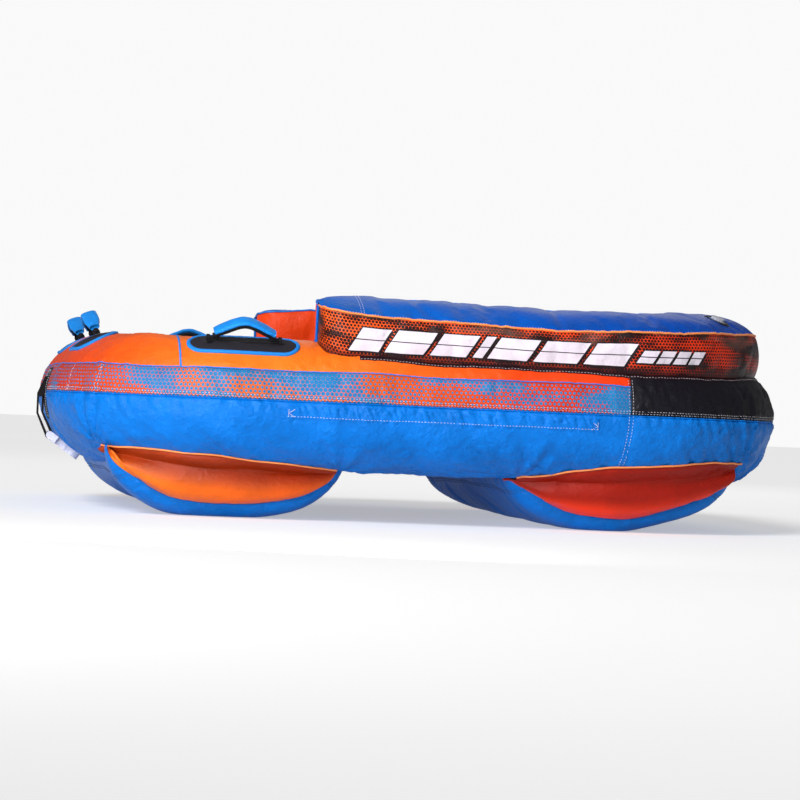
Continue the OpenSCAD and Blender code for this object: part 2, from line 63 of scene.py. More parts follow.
# ---------- Meshes ----------
def mesh_object(name, points, faces, uv=None, material=None):
    """A mesh from point and face lists. uv holds one pair per face corner."""
    mesh = bpy.data.meshes.new(name)
    mesh.from_pydata([tuple(p) for p in np.asarray(points, float)], [], [tuple(f) for f in faces])
    if uv is not None:
        layer = mesh.uv_layers.new(name="UVMap")
        layer.data.foreach_set("uv", np.asarray(uv, np.float32).ravel())
    mesh.polygons.foreach_set("use_smooth", [True] * len(mesh.polygons))
    mesh.update()
    obj = bpy.data.objects.new(name, mesh)
    bpy.context.scene.collection.objects.link(obj)
    if material:
        mesh.materials.append(material)
    return obj


def grid_faces(nu, nv, wrap_u=False, wrap_v=False):
    """Quads of a grid of points numbered i * nv + j, and the grid steps of their corners."""
    quads_u, quads_v = np.arange(nu if wrap_u else nu - 1), np.arange(nv if wrap_v else nv - 1)
    i, j = (k.ravel() for k in np.meshgrid(quads_u, quads_v, indexing="ij"))
    steps = np.stack([np.stack([i, j], 1), np.stack([i + 1, j], 1),
                      np.stack([i + 1, j + 1], 1), np.stack([i, j + 1], 1)], 1)
    faces = (steps[..., 0] % nu) * nv + steps[..., 1] % nv
    return faces, steps


def grid_object(name, points, u, v, wrap_u=False, material=None):
    """A grid of points (nu, nv, 3). u and v are lengths for the texture, one longer where the grid wraps."""
    nu, nv = points.shape[:2]
    faces, steps = grid_faces(nu, nv, wrap_u)
    uv = np.stack([np.asarray(u)[steps[..., 0]], np.asarray(v)[steps[..., 1]]], -1)
    return mesh_object(name, points.reshape(-1, 3), faces.tolist(), uv.reshape(-1, 2), material)


def joined(name, parts, material):
    """One mesh from several (points, faces) pairs."""
    points, faces, base = [], [], 0
    for p, f in parts:
        points.append(np.asarray(p, float))
        faces += [[base + k for k in face] for face in f]
        base += len(p)
    return mesh_object(name, np.vstack(points), faces, None, material)


def unit(a):
    return a / np.maximum(np.linalg.norm(a, axis=-1, keepdims=True), 1e-12)


def lengths(path):
    """Distance along a path of points at each of them."""
    return np.concatenate([[0], np.cumsum(np.linalg.norm(np.diff(path, axis=0), axis=1))])


def rounded(turn, power):
    """Cosines and sines bent to a squarer shape: a superellipse's two coordinates."""
    c, w = np.cos(turn), np.sin(turn)
    return np.sign(c) * np.abs(c) ** (2 / power), np.sign(w) * np.abs(w) ** (2 / power)


def set_points(obj, points):
    obj.data.vertices.foreach_set("co", points.ravel())
    obj.data.update()


def coordinates(mesh):
    flat = np.empty(len(mesh.vertices) * 3)
    mesh.vertices.foreach_get("co", flat)
    return flat.reshape(-1, 3)


def vertex_normals(obj):
    return np.array([v.normal for v in obj.data.vertices])


def move_out(obj, amount):
    """Moves each vertex along its normal."""
    set_points(obj, coordinates(obj.data) + vertex_normals(obj) * np.asarray(amount)[:, None])


def thicken(obj, thickness):
    """Gives a sheet its thickness, inward from its face."""
    solid = obj.modifiers.new("thickness", "SOLIDIFY")
    solid.thickness = thickness
    solid.offset = -1
    return obj


def soften(obj, width, angle=30):
    """Rounds the edges that are sharper than angle."""
    bevel = obj.modifiers.new("edges", "BEVEL")
    bevel.width = width
    bevel.segments = 2
    bevel.limit_method = "ANGLE"
    bevel.angle_limit = math.radians(angle)
    return obj


def place(obj, replaces=(), body=HULL):
    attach(obj, body)
    if replaces:
        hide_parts(*replaces)
    return obj


# ---------- Smooth random waves ----------
class Waves:
    """A sum of random cosines over (u, v), periodic in u, about 1 high. The same each run."""

    def __init__(self, seed, count, shortest, longest, period, stretch=1.0):
        rng = np.random.default_rng(seed)
        length = np.exp(rng.uniform(math.log(shortest), math.log(longest), count))
        turn = rng.uniform(0, 2 * math.pi, count)
        step = 2 * math.pi / period
        self.ku = np.round(2 * math.pi / length * np.cos(turn) / step) * step
        self.kv = 2 * math.pi / length * np.sin(turn) / stretch
        self.phase = rng.uniform(0, 2 * math.pi, count)
        self.gain = math.sqrt(2 / count)

    def __call__(self, u, v):
        total = np.zeros(np.broadcast(u, v).shape)
        for ku, kv, phase in zip(self.ku, self.kv, self.phase):
            total += np.cos(ku * u + kv * v + phase)
        return total * self.gain


def creases(waves):
    """Turns waves into broad swells with narrow valleys between them."""
    return np.minimum(np.abs(waves), 1.2) - 0.6


def bell(x, width):
    return np.exp(-(x / width) ** 2)


def step(x, low, high):
    t = np.clip((x - low) / (high - low), 0, 1)
    return t * t * (3 - 2 * t)


# ---------- The hull's plan outline ----------
# s is the distance along the outline, from the middle of the nose past the left side (-Y) and round.
SIDE_LENGTH = X1 - X0 - FRONT_R - REAR_R
S_NOSE = HALF_W - FRONT_R                       # the nose's left half
S_FRONT = S_NOSE + FRONT_R * math.pi / 2        # end of the front left corner
S_SIDE = S_FRONT + SIDE_LENGTH                  # end of the left side
S_REAR = S_SIDE + REAR_R * math.pi / 2          # end of the rear left corner
S_TAIL = S_REAR + HALF_W - REAR_R               # middle of the tail
S_ALL = 2 * S_TAIL


def outline(s):
    """Points on the hull's plan outline and the outward directions there."""
    s = np.mod(np.asarray(s, float), S_ALL)
    right = s > S_TAIL
    h = np.where(right, S_ALL - s, s)
    x, y = np.zeros_like(h), np.zeros_like(h)
    nx, ny = np.zeros_like(h), np.zeros_like(h)
    part = h <= S_NOSE
    x[part], y[part], nx[part] = X0, -h[part], -1
    part = (h > S_NOSE) & (h <= S_FRONT)
    a = math.pi + (h[part] - S_NOSE) / FRONT_R
    nx[part], ny[part] = np.cos(a), np.sin(a)
    x[part] = X0 + FRONT_R + FRONT_R * nx[part]
    y[part] = FRONT_R - HALF_W + FRONT_R * ny[part]
    part = (h > S_FRONT) & (h <= S_SIDE)
    x[part], y[part], ny[part] = X0 + FRONT_R + h[part] - S_FRONT, -HALF_W, -1
    part = (h > S_SIDE) & (h <= S_REAR)
    a = 1.5 * math.pi + (h[part] - S_SIDE) / REAR_R
    nx[part], ny[part] = np.cos(a), np.sin(a)
    x[part] = X1 - REAR_R + REAR_R * nx[part]
    y[part] = REAR_R - HALF_W + REAR_R * ny[part]
    part = h > S_REAR
    x[part], y[part], nx[part] = X1, -(HALF_W - REAR_R) + h[part] - S_REAR, 1
    y, ny = np.where(right, -y, y), np.where(right, -ny, ny)
    return np.stack([x, y], -1), np.stack([nx, ny], -1)


def side_s(x):
    """Distance along the outline of a point of the left straight side."""
    return S_FRONT + x - X0 - FRONT_R


def other_side(s):
    return S_ALL - s


def folded(s):
    """Distance along the outline from the middle of the nose, the shorter way round."""
    s = np.mod(s, S_ALL)
    return np.minimum(s, S_ALL - s)


# ---------- Pontoon seams on the hull ----------
class Pontoon:
    """Where a pontoon's side panel is sewn to the hull. seam holds (x from the hull's middle, tube angle)."""

    def __init__(self, corner, seam):
        self.corner = corner
        self.angle_x = [XM + x for x, _ in seam]
        self.angle = [angle for _, angle in seam]
        self.tips = (self.angle_x[0], self.angle_x[-1])

    def theta(self, x):
        return np.radians(np.interp(x, self.angle_x, self.angle))

    def outline_s(self, x):
        """Distance along the outline whose tube passes over x at the seam's angle."""
        x = np.asarray(x, float)
        s = side_s(x)
        radius = (FRONT_R if self.corner == "front" else REAR_R) - TUBE_R + TUBE_R * np.cos(self.theta(x))
        if self.corner == "front":
            cos_a = np.clip((X0 + FRONT_R - x) / radius, 0, 1)
            return np.where(x < X0 + FRONT_R, S_FRONT - FRONT_R * np.arcsin(cos_a), s)
        cos_a = np.clip((x - X1 + REAR_R) / radius, 0, 1)
        return np.where(x > X1 - REAR_R, S_SIDE + REAR_R * np.arcsin(cos_a), s)


FRONT = Pontoon("front", [(-0.822, -47), (-0.65, -52), (-0.45, -60), (-0.31, -72), (-0.247, -84)])
REAR = Pontoon("rear", [(0.200, -76), (0.29, -60), (0.42, -48), (0.60, -42), (0.785, -36)])

# ---------- How the inflated covers swell and crease ----------
swell = Waves(3, 14, 0.22, 0.60, S_ALL)
crumple = Waves(5, 40, 0.035, 0.11, S_ALL)
pucker = Waves(8, 30, 0.022, 0.060, S_ALL, stretch=5.0)
fold = Waves(11, 22, 0.09, 0.26, S_ALL, stretch=4.0)
fine = Waves(14, 60, 0.016, 0.040, S_ALL)


def fan(s, v, s0, v0, forward, reach, height, folds, seed):
    """Folds that run out from the point (s0, v0), as sewn fabric does from the end of a seam."""
    ds = np.where(np.abs(s - s0) < S_ALL / 2, s - s0, s - s0 - np.sign(s - s0) * S_ALL) * forward
    dv = v - v0
    far = np.hypot(ds, dv)
    angle = np.arctan2(ds, dv)
    wave = np.cos(folds * angle + 1.7 * np.sin(2.3 * angle + seed) + seed)
    sharp = np.sign(wave) * np.abs(wave) ** 1.4
    inside = step(angle, -0.9, -0.4) * (1 - step(angle, 1.7, 2.1))
    return height * sharp * inside * np.exp(-far / reach) * (1 - np.exp(-(far / 0.025) ** 2))


def calm(s, theta):
    """1 where the cover lies plain under a sewn pad, 0 elsewhere."""
    total = np.zeros(np.broadcast(s, theta).shape)
    h = folded(s)
    for at, angle, long, wide in CALM_SPOTS:
        reach = np.hypot(np.maximum(np.abs(h - at) - long, 0), TUBE_R * (theta - math.radians(angle)))
        total = np.maximum(total, 1 - step(reach, wide, wide + 0.03))
    return total


def long_seams(s, theta):
    """A groove along each of the hull's two long seams, with puckers beside it."""
    d = 0.0
    for seam, depth, tall in ((BAND_LOW, 4.2, 8.5), (BAND_TOP, 1.2, 2.2)):
        off = TUBE_R * (theta - math.radians(seam))
        d = d - depth * MM * bell(off, 6 * MM)
        lean = 0.35 * off
        below = np.where(off < 0, 1.0, 0.45)
        d = d + tall * MM * below * creases(pucker(s + lean, off)) * np.exp(-np.abs(off) / (34 * MM))
    return d


def lower_folds(s, theta, v):
    """Long slanting folds across the lower cover, in gusts."""
    low = step(-theta, 0.25, 0.55) * (1 - step(-theta, 1.3, 1.7))
    gust = 0.35 + 0.65 * step(swell(s + 1.1, 0.3 * v), -0.3, 0.9)
    return low * gust * (7.0 * MM * creases(fold(s + 0.75 * v, 0.25 * v))
                         + 4.6 * MM * creases(pucker(s + 0.9 * v, 0.3 * v)))


def tip_folds(s, v):
    """Folds that fan out from the tips of the pontoons' seams."""
    d = 0.0
    for pontoon in (FRONT, REAR):
        for tip, forward in zip(pontoon.tips, (-1, 1)):
            left, v0 = float(pontoon.outline_s(tip)), TUBE_R * float(pontoon.theta(tip))
            height = 8.5 * MM if (pontoon is FRONT and forward < 0) else 6.0 * MM
            for here, facing in ((left, forward), (other_side(left), -forward)):
                d = d + fan(s, v, here, v0, facing, 0.15, height, 11, left)
    return d


def upright_seams(s, theta, v, band):
    """Grooves along the seams that cross the band, with the creases beside the rear ones."""
    d = 0.0
    for s0 in (side_s(REAR_SEAM_X), other_side(side_s(REAR_SEAM_X))):
        d = d - 1.8 * MM * bell(s - s0, 6 * MM) * (1 - step(theta, 0.75, 0.9))
        d = d + 1.4 * MM * bell(s - s0, 0.05) * creases(pucker(0.15 * s + v, s - s0)) * band
    for s0 in NOSE_SEAMS:
        d = d - 1.6 * MM * bell(s - s0, 5 * MM) * band
    return d


def under_pontoon(s, theta):
    """1 on the part of the hull that a pontoon covers, 0 elsewhere."""
    h, total = folded(s), 0.0
    for pontoon in (FRONT, REAR):
        along = np.linspace(*pontoon.tips, 30)
        seam_s = pontoon.outline_s(along)
        beside = (h > seam_s[0]) * (h < seam_s[-1])
        total = total + beside * step(np.interp(h, seam_s, pontoon.theta(along)) - theta, -0.02, 0.10)
    return total


def hull_swell(s, theta):
    """How far the hull's cover stands out from the plain tube, at outline distance s and tube angle theta."""
    v = TUBE_R * theta
    band = step(theta, -0.02, 0.06) * (1 - step(theta, 0.55, 0.75))
    d = 2.6 * MM * swell(s, v) + 1.7 * MM * creases(crumple(s, v)) + 0.4 * MM * fine(s, v)
    d = d - 2.2 * MM * band * bell(fold(s + 0.2 * v, v), 0.16) + long_seams(s, theta)
    d = d + lower_folds(s, theta, v) + tip_folds(s, v) + upright_seams(s, theta, v, band)
    # The black rear panel is pulled tight over the tail, in fine upright creases.
    tail = step(np.abs(np.abs(s - S_TAIL) - 0.62), 0.45, 0.25) * band
    d = d + 1.6 * MM * tail * creases(pucker(s, 0.15 * v))
    # In the cockpit's tight corners the cover bunches up.
    inner = step(theta, 1.9, 2.6) + step(-theta, 1.9, 2.6)
    d = d + 1.5 * MM * inner * creases(pucker(s, 0.1 * v))
    deepest = 6.5 * MM                       # the bladder lies 10 mm below the plain tube
    d = np.where(d < 0, -deepest * np.tanh(-d / deepest), d)
    return d * (1 - 0.8 * under_pontoon(s, theta)) * (1 - 0.85 * calm(s, theta))


# Pads sewn to the hull: outline distance, tube angle, half length and half width of the plain patch.
CALM_SPOTS = [(side_s(XM - 0.498), 63, 0.095, 0.055), (0.345, 66, 0.10, 0.072), (0.0, 0, 0.03, 0.075)]
STRIPE_X = 0.652                         # how far ahead of the hull's middle the deck's stripe is
NOSE_SEAMS = [S_NOSE + 0.16, S_NOSE + 0.30]
NOSE_SEAMS += [other_side(s) for s in NOSE_SEAMS]


def hull_point(s, theta, out=0.0):
    """A point on the hull's cover, plus out."""
    s, theta = np.broadcast_arrays(np.asarray(s, float), np.asarray(theta, float))
    ground, normal = outline(s)
    radius = TUBE_R + hull_swell(s, theta) + out
    flat = ground - normal * (TUBE_R - radius * np.cos(theta))[..., None]
    return np.concatenate([flat, (HULL_Z + radius * np.sin(theta))[..., None]], -1)


def hull_normal(s, theta):
    _, normal = outline(s)
    c, w = np.cos(theta)[..., None], np.sin(theta)[..., None]
    return np.concatenate([normal * c, w], -1)


# ---------- Materials ----------
def srgb(r, g, b):
    """A colour as a monitor shows it, 0 to 255, made linear."""
    def linear(c):
        c /= 255
        return c / 12.92 if c <= 0.04045 else ((c + 0.055) / 1.055) ** 2.4
    return (linear(r), linear(g), linear(b), 1.0)


class Shader:
    """Short names for the node work of one material."""

    def __init__(self, name):
        self.material = bpy.data.materials.new(name)
        self.material.use_nodes = True
        self.tree = self.material.node_tree
        self.bsdf = self.tree.nodes["Principled BSDF"]

    def node(self, kind, **values):
        made = self.tree.nodes.new(kind)
        for key, value in values.items():
            setattr(made, key, value)
        return made

    def feed(self, socket, value):
        if isinstance(value, bpy.types.NodeSocket):
            self.tree.links.new(value, socket)
        elif value is not None:
            socket.default_value = value

    def math(self, operation, a, b=None, c=None):
        made = self.node("ShaderNodeMath", operation=operation)
        for socket, value in zip(made.inputs, (a, b, c)):
            self.feed(socket, value)
        return made.outputs[0]

    def add(self, a, b):
        return self.math("ADD", a, b)

    def minus(self, a, b):
        return self.math("SUBTRACT", a, b)

    def times(self, a, b):
        return self.math("MULTIPLY", a, b)

    def between(self, value, low, high, to_low=0.0, to_high=1.0, smooth=True):
        made = self.node("ShaderNodeMapRange", interpolation_type="SMOOTHSTEP" if smooth else "LINEAR")
        for key, item in (("Value", value), ("From Min", low), ("From Max", high),
                          ("To Min", to_low), ("To Max", to_high)):
            self.feed(made.inputs[key], item)
        return made.outputs[0]

    def mix(self, share, a, b, blend="MIX"):
        made = self.node("ShaderNodeMix", data_type="RGBA", blend_type=blend)
        self.feed(made.inputs[0], share)
        self.feed(made.inputs[6], a)
        self.feed(made.inputs[7], b)
        return made.outputs[2]

    def vector(self, x, y, z=0.0):
        made = self.node("ShaderNodeCombineXYZ")
        for socket, value in zip(made.inputs, (x, y, z)):
            self.feed(socket, value)
        return made.outputs[0]

    def grey(self, colour):
        made = self.node("ShaderNodeRGBToBW")
        self.feed(made.inputs[0], colour)
        return made.outputs[0]

    def darken(self, colour, tone):
        """A colour times a grey tone."""
        return self.mix(1.0, colour, self.vector(tone, tone, tone), "MULTIPLY")

    def split(self, vector):
        made = self.node("ShaderNodeSeparateXYZ")
        self.feed(made.inputs[0], vector)
        return made.outputs

    def place(self):
        """Object coordinates: metres in the row frame at rest."""
        return self.node("ShaderNodeTexCoord").outputs["Object"]

    def uv(self):
        made = self.node("ShaderNodeUVMap", uv_map="UVMap")
        return self.split(made.outputs[0])

    def noise(self, vector, scale, detail=2.0, roughness=0.5):
        made = self.node("ShaderNodeTexNoise")
        self.feed(made.inputs["Vector"], vector)
        made.inputs["Scale"].default_value = scale
        made.inputs["Detail"].default_value = detail
        made.inputs["Roughness"].default_value = roughness
        return made.outputs["Fac"]

    def ramp(self, share, stops, constant=False):
        made = self.node("ShaderNodeValToRGB")
        made.color_ramp.interpolation = "CONSTANT" if constant else "LINEAR"
        elements = made.color_ramp.elements
        while len(elements) < len(stops):
            elements.new(0.5)
        for element, (position, colour) in zip(elements, stops):
            element.position = position
            element.color = colour
        self.feed(made.inputs[0], share)
        return made.outputs[0]

    def bump(self, height, strength, distance):
        made = self.node("ShaderNodeBump")
        made.inputs["Strength"].default_value = strength
        made.inputs["Distance"].default_value = distance
        self.feed(made.inputs["Height"], height)
        return made.outputs[0]

    def weave(self, pitch, tall):
        """Plain weave: threads that cross over and under, in object space."""
        x, y, z = self.split(self.place())
        k = 2 * math.pi / pitch
        warp = self.math("SINE", self.times(self.add(x, z), k))
        weft = self.math("SINE", self.times(self.minus(self.add(y, z), x), k))
        return self.bump(self.times(warp, weft), 0.35, tall)

    def finish(self, colour, roughness, normal=None, **extra):
        self.feed(self.bsdf.inputs["Base Color"], colour)
        self.feed(self.bsdf.inputs["Roughness"], roughness)
        self.feed(self.bsdf.inputs["Normal"], normal)
        for key, value in extra.items():
            self.feed(self.bsdf.inputs[key.replace("_", " ")], value)
        return self.material


def cloth_finish(shader, colour, roughness=0.36, tall=5.0 * MM, pitch=1.1 * MM, shine=0.22):
    """Coated woven nylon over any colour: satin shading, small creases, threads."""
    place_at = shader.place()
    mottled = shader.noise(place_at, 9.0, 3.0, 0.6)
    colour = shader.darken(colour, shader.between(mottled, 0.25, 0.75, 0.84, 1.06))
    small = shader.noise(place_at, 38.0, 4.0, 0.6)
    creased = shader.bump(shader.math("ABSOLUTE", shader.minus(small, 0.5)), 0.9, tall)
    threads = shader.weave(pitch, 0.10 * MM)
    shader.tree.links.new(creased, threads.node.inputs["Normal"])
    rough = shader.between(mottled, 0.2, 0.8, roughness - 0.05, roughness + 0.08)
    return shader.finish(colour, rough, threads, Specular_IOR_Level=shine)


def nylon(name, colour, **options):
    return cloth_finish(Shader(name), colour, **options)


def along_x(shader, stops):
    """A colour that changes along the hull. Stops are (x from the hull's middle, colour)."""
    x = shader.split(shader.place())[0]
    share = shader.between(x, X0, X1, smooth=False)
    return shader.ramp(share, [((XM + at - X0) / (X1 - X0), colour) for at, colour in stops])


def blended_cloth(name, stops, **options):
    """Nylon whose colour changes along the hull."""
    shader = Shader(name)
    return cloth_finish(shader, along_x(shader, stops), **options)


ORANGE_STOPS = [(-0.93, srgb(226, 62, 14)), (-0.78, srgb(250, 92, 18)), (-0.62, srgb(255, 118, 28)),
                (-0.40, srgb(255, 124, 30)), (-0.15, srgb(255, 104, 22)), (0.20, srgb(248, 70, 12)),
                (0.60, srgb(232, 48, 8))]


def dots(shader, u, v, pitch, radius):
    """1 inside the dots of a hexagonal lattice whose dot radius may vary, 0 between them."""
    edge = 0.35 * MM                         # how soft a dot's rim is
    tall = pitch * math.sqrt(3)
    found = None
    for shift in (0.0, 0.5):
        du = shader.math("WRAP", shader.add(u, shift * pitch), pitch / 2, -pitch / 2)
        dv = shader.math("WRAP", shader.add(v, shift * tall), tall / 2, -tall / 2)
        far = shader.math("SQRT", shader.add(shader.times(du, du), shader.times(dv, dv)))
        found = far if found is None else shader.math("MINIMUM", found, far)
    return shader.between(shader.minus(radius, found), -edge, edge)


def band_print():
    """Orange to red ground with blue halftone dots that grow until they meet."""
    shader = Shader("band_print")
    u, v, _ = shader.uv()
    ground = shader.mix(1.0, along_x(shader, ORANGE_STOPS), (0.72, 0.66, 0.6, 1), "MULTIPLY")
    cloud = shader.noise(shader.vector(shader.times(u, 4.2), shader.times(v, 9.0)), 1.0, 2.5, 0.6)
    wide = shader.noise(shader.vector(shader.times(u, 1.3), 3.3), 1.0, 1.0)
    dense = shader.add(shader.times(cloud, 0.75), shader.times(wide, 0.35))
    x = shader.split(shader.place())[0]
    dense = shader.add(dense, shader.times(shader.between(x, XM - 0.15, XM + 0.2), 0.09))
    radius = shader.between(dense, 0.49, 0.68, 2.7 * MM, 5.8 * MM)
    blue = shader.mix(shader.noise(shader.place(), 20.0), srgb(10, 104, 168), srgb(30, 138, 196))
    return cloth_finish(shader, shader.mix(dots(shader, u, v, 11.0 * MM, radius), ground, blue))


def pontoon_cloth():
    """Orange at the front and red at the rear, with painted shade: deep red towards the seam under the hull,
    where the hull's overhang shades the panel.
    """
    shader = Shader("pontoon_orange_cloth")
    ground = along_x(shader, [(-0.85, srgb(255, 126, 30)), (-0.2, srgb(255, 96, 18)), (0.2, srgb(255, 58, 8)),
                              (0.8, srgb(255, 50, 8))])
    v = shader.uv()[1]
    # Painted shade: the panel's upper part, near the hull, is mixed towards deep red as if it lay in the
    # hull's shadow.
    painted_shade = shader.times(shader.between(v, 0.055, 0.105), 0.85)
    return cloth_finish(shader, shader.mix(painted_shade, ground, srgb(130, 14, 4)))


def plain(name, colour, roughness, grain=400.0, tall=0.05 * MM, **extra):
    """Moulded, knitted or cast stuff with one colour, a fine grain and slight wear."""
    shader = Shader(name)
    grained = shader.noise(shader.place(), grain, 2.0)
    worn = shader.noise(shader.place(), 30.0, 3.0)
    colour = shader.darken(colour, shader.between(worn, 0.3, 0.7, 0.88, 1.08))
    rough = shader.between(worn, 0.3, 0.7, roughness - 0.05, roughness + 0.07)
    return shader.finish(colour, rough, shader.bump(grained, 0.5, tall), **extra)


def ribbed(name, colour, pitch, roughness=0.7, tall=0.4 * MM):
    """Webbing or tape: fine diagonal ribs over a plain colour, painted darker in the rib valleys as shade."""
    shader = Shader(name)
    x, y, z = shader.split(shader.place())
    run = shader.add(shader.add(x, shader.times(y, 0.8)), shader.times(z, 0.6))
    ribs = shader.math("SINE", shader.times(run, 2 * math.pi / pitch))
    cross = shader.noise(shader.place(), 300.0, 2.0)
    # Painted shade and highlight: the colour is darker in the rib valleys and lighter on the rib tops,
    # following the ribs' bump.
    colour = shader.darken(colour, shader.between(ribs, -1.0, 1.0, 0.75, 1.1))
    height = shader.add(ribs, shader.times(cross, 0.8))
    return shader.finish(colour, roughness, shader.bump(height, 0.5, tall), Specular_IOR_Level=0.25)


materials = {
    "blue": nylon("blue_cloth", srgb(0, 118, 216), roughness=0.33, shine=0.17, tall=8.0 * MM),
    "deep_blue": nylon("deep_blue_cloth", srgb(0, 80, 184)),
    "black": nylon("black_cloth", srgb(14, 12, 22), roughness=0.45),
    "red": nylon("red_cloth", srgb(238, 52, 10)),
    "orange": blended_cloth("orange_cloth", ORANGE_STOPS),
    "pontoon_orange": pontoon_cloth(),
    "band": band_print(),
    "thread": plain("thread", srgb(226, 222, 232), 0.6),
    "dark_thread": plain("dark_thread", srgb(70, 60, 70), 0.6),
    "piping_blue": plain("piping_blue", srgb(30, 130, 235), 0.45),
    "piping_orange": plain("piping_orange", srgb(255, 150, 80), 0.45),
    "webbing": ribbed("webbing", srgb(16, 14, 20), 2.2 * MM),
    "neoprene": plain("neoprene", srgb(22, 18, 30), 0.8, 900.0, 0.25 * MM),
    "binding": ribbed("binding", srgb(24, 140, 235), 1.6 * MM, 0.5, 0.25 * MM),
    "grip": nylon("grip_cloth", srgb(22, 138, 230), roughness=0.45, pitch=1.4 * MM),
    "foam": plain("foam", srgb(38, 36, 44), 0.8, 700.0, 0.5 * MM),
    "white_plastic": plain("white_plastic", srgb(228, 226, 242), 0.38, Subsurface_Weight=0.05),
    "grey_plastic": plain("grey_plastic", srgb(176, 178, 190), 0.42),
    "rubber": plain("rubber", srgb(26, 25, 30), 0.55, 500.0, 0.1 * MM),
    "vinyl": plain("vinyl", srgb(200, 202, 206), 0.3),
    "zip_metal": plain("zip_metal", srgb(130, 130, 136), 0.35, Metallic=1.0),
    "zip_tape": ribbed("zip_tape", srgb(34, 34, 40), 2.0 * MM),
}

# ---------- Hull panels ----------
COLUMNS = 820
s_all = np.linspace(0, S_ALL, COLUMNS, endpoint=False)
ROW = 7.5 * MM


def rows(low, high):
    """Tube angles of a panel's rows, in radians, at about the row spacing."""
    low, high = math.radians(low), math.radians(high)
    return np.linspace(low, high, max(3, round(TUBE_R * (high - low) / ROW) + 1))


def hull_panel(name, node, s, low, high, material, wrap=False):
    """A sewn panel of the hull's cover between two tube angles in degrees."""
    theta = rows(low, high)
    points = hull_point(s[:, None], theta[None, :])
    u = np.append(s, S_ALL) if wrap else s
    obj = grid_object(name, points, u, TUBE_R * theta, wrap_u=wrap, material=materials[material])
    place(thicken(obj, CLOTH_T), [node])


def stretch(a, b):
    """Outline distances of a panel from a to b, ends included."""
    return np.linspace(a, b, max(3, round((b - a) / (S_ALL / COLUMNS)) + 1))


s_seam = side_s(REAR_SEAM_X)
s_front_part = stretch(-s_seam, s_seam)
s_rear_part = stretch(s_seam, S_ALL - s_seam)
hull_panel("hull_lower_cover_skin", "hull_lower_cover", s_all, -165, BAND_LOW, "blue", wrap=True)
hull_panel("hull_side_band_skin", "hull_side_band", s_front_part, BAND_LOW, BAND_TOP, "band")
hull_panel("hull_deck_skin", "hull_deck_cover", s_front_part, BAND_TOP, 195, "orange")
hull_panel("hull_rear_panel_skin", "hull_rear_panel", s_rear_part, BAND_LOW, 195, "black")


# ---------- Seams: piping and stitches ----------
def sides_along(path, normal):
    """Directions across a path: sideways, and out along the normal."""
    tangent = unit(np.gradient(path, axis=0))
    side = unit(np.cross(tangent, normal))
    return side, unit(np.cross(side, tangent))


def cord(name, path, normal, radius, material, closed=False, flat=1.0, sides=8):
    """A round or flattened cord along a path."""
    side, up = sides_along(path, normal)
    turn = np.linspace(0, 2 * math.pi, sides, endpoint=False)
    ring = (np.cos(turn)[None, :, None] * side[:, None, :]
            + flat * np.sin(turn)[None, :, None] * up[:, None, :]) * radius
    points = path[:, None, :] + ring
    count = len(path)
    faces, _ = grid_faces(count, sides, closed, True)
    faces = faces[:, ::-1].tolist()
    points = points.reshape(-1, 3)
    if not closed:
        faces += [list(range(sides)), list(range((count - 1) * sides, count * sides))[::-1]]
    return mesh_object(name, points, faces, None, materials[material])


def read_path(path, run, at):
    """The points of a path, known at the distances run, at other distances."""
    return np.stack([np.interp(at, run, path[:, k]) for k in range(3)], 1)


def stitches(path, normal, pitch=8 * MM, length=5.2 * MM, width=1.1 * MM, tall=0.7 * MM):
    """Thread dashes along a path: (points, faces) of small pointed prisms."""
    run = lengths(path)
    count = max(1, int(run[-1] / pitch))
    at = (np.arange(count) + 0.5) * run[-1] / count
    mid = read_path(path, run, at)
    along = unit(read_path(path, run, at + 1 * MM) - read_path(path, run, at - 1 * MM))
    out = unit(read_path(normal, run, at))
    side = unit(np.cross(along, out))
    shape = [(-0.5, 0, -0.6), (-0.25, 0.5, 0.2), (-0.25, -0.5, 0.2), (-0.25, 0, 1.0),
             (0.25, 0.5, 0.2), (0.25, -0.5, 0.2), (0.25, 0, 1.0), (0.5, 0, -0.6), (0, 0, -1.2)]
    parts = [mid + a * length * along + b * width * side + c * tall * out for a, b, c in shape]
    points = np.stack(parts, 1).reshape(-1, 3)
    one = [(0, 1, 3), (0, 3, 2), (1, 4, 6, 3), (3, 6, 5, 2), (4, 7, 6), (6, 7, 5),
           (0, 8, 1), (0, 2, 8), (1, 8, 4), (2, 5, 8), (4, 8, 7), (5, 7, 8)]
    faces = [[9 * k + q for q in f] for k in range(len(mid)) for f in one]
    return points, faces


def on_hull(s, theta, out=0.0):
    s, theta = np.broadcast_arrays(np.asarray(s, float), np.asarray(theta, float))
    return hull_point(s, theta, out), hull_normal(s, theta)


def hull_stitching():
    """Two rows of thread along the hull's widest line, down its rear seams and over the nose."""
    rows_of_thread = []
    for span in ((-s_seam, s_seam), (s_seam, other_side(s_seam))):
        for offset in (5.5 * MM, 11 * MM):
            theta = math.radians(BAND_LOW) + offset / TUBE_R
            rows_of_thread.append(stitches(*on_hull(stretch(*span), theta, 0.3 * MM)))
    drop = np.radians(np.linspace(-96, 38, 90))
    bow = -36 * MM * (np.clip(-drop, 0, None) / math.radians(90)) ** 1.6
    for seam, ahead in ((s_seam, 1), (other_side(s_seam), -1)):
        for shift in (-5 * MM, 5 * MM):
            rows_of_thread.append(stitches(*on_hull(seam + shift + ahead * bow, drop, 0.3 * MM)))
    across = np.radians(np.linspace(BAND_LOW + 1, BAND_TOP - 1, 20))
    for seam in NOSE_SEAMS:
        for shift in (-3.5 * MM, 3.5 * MM):
            rows_of_thread.append(stitches(*on_hull(seam + shift, across, 0.3 * MM)))
    place(joined("hull_stitching", rows_of_thread, materials["thread"]))


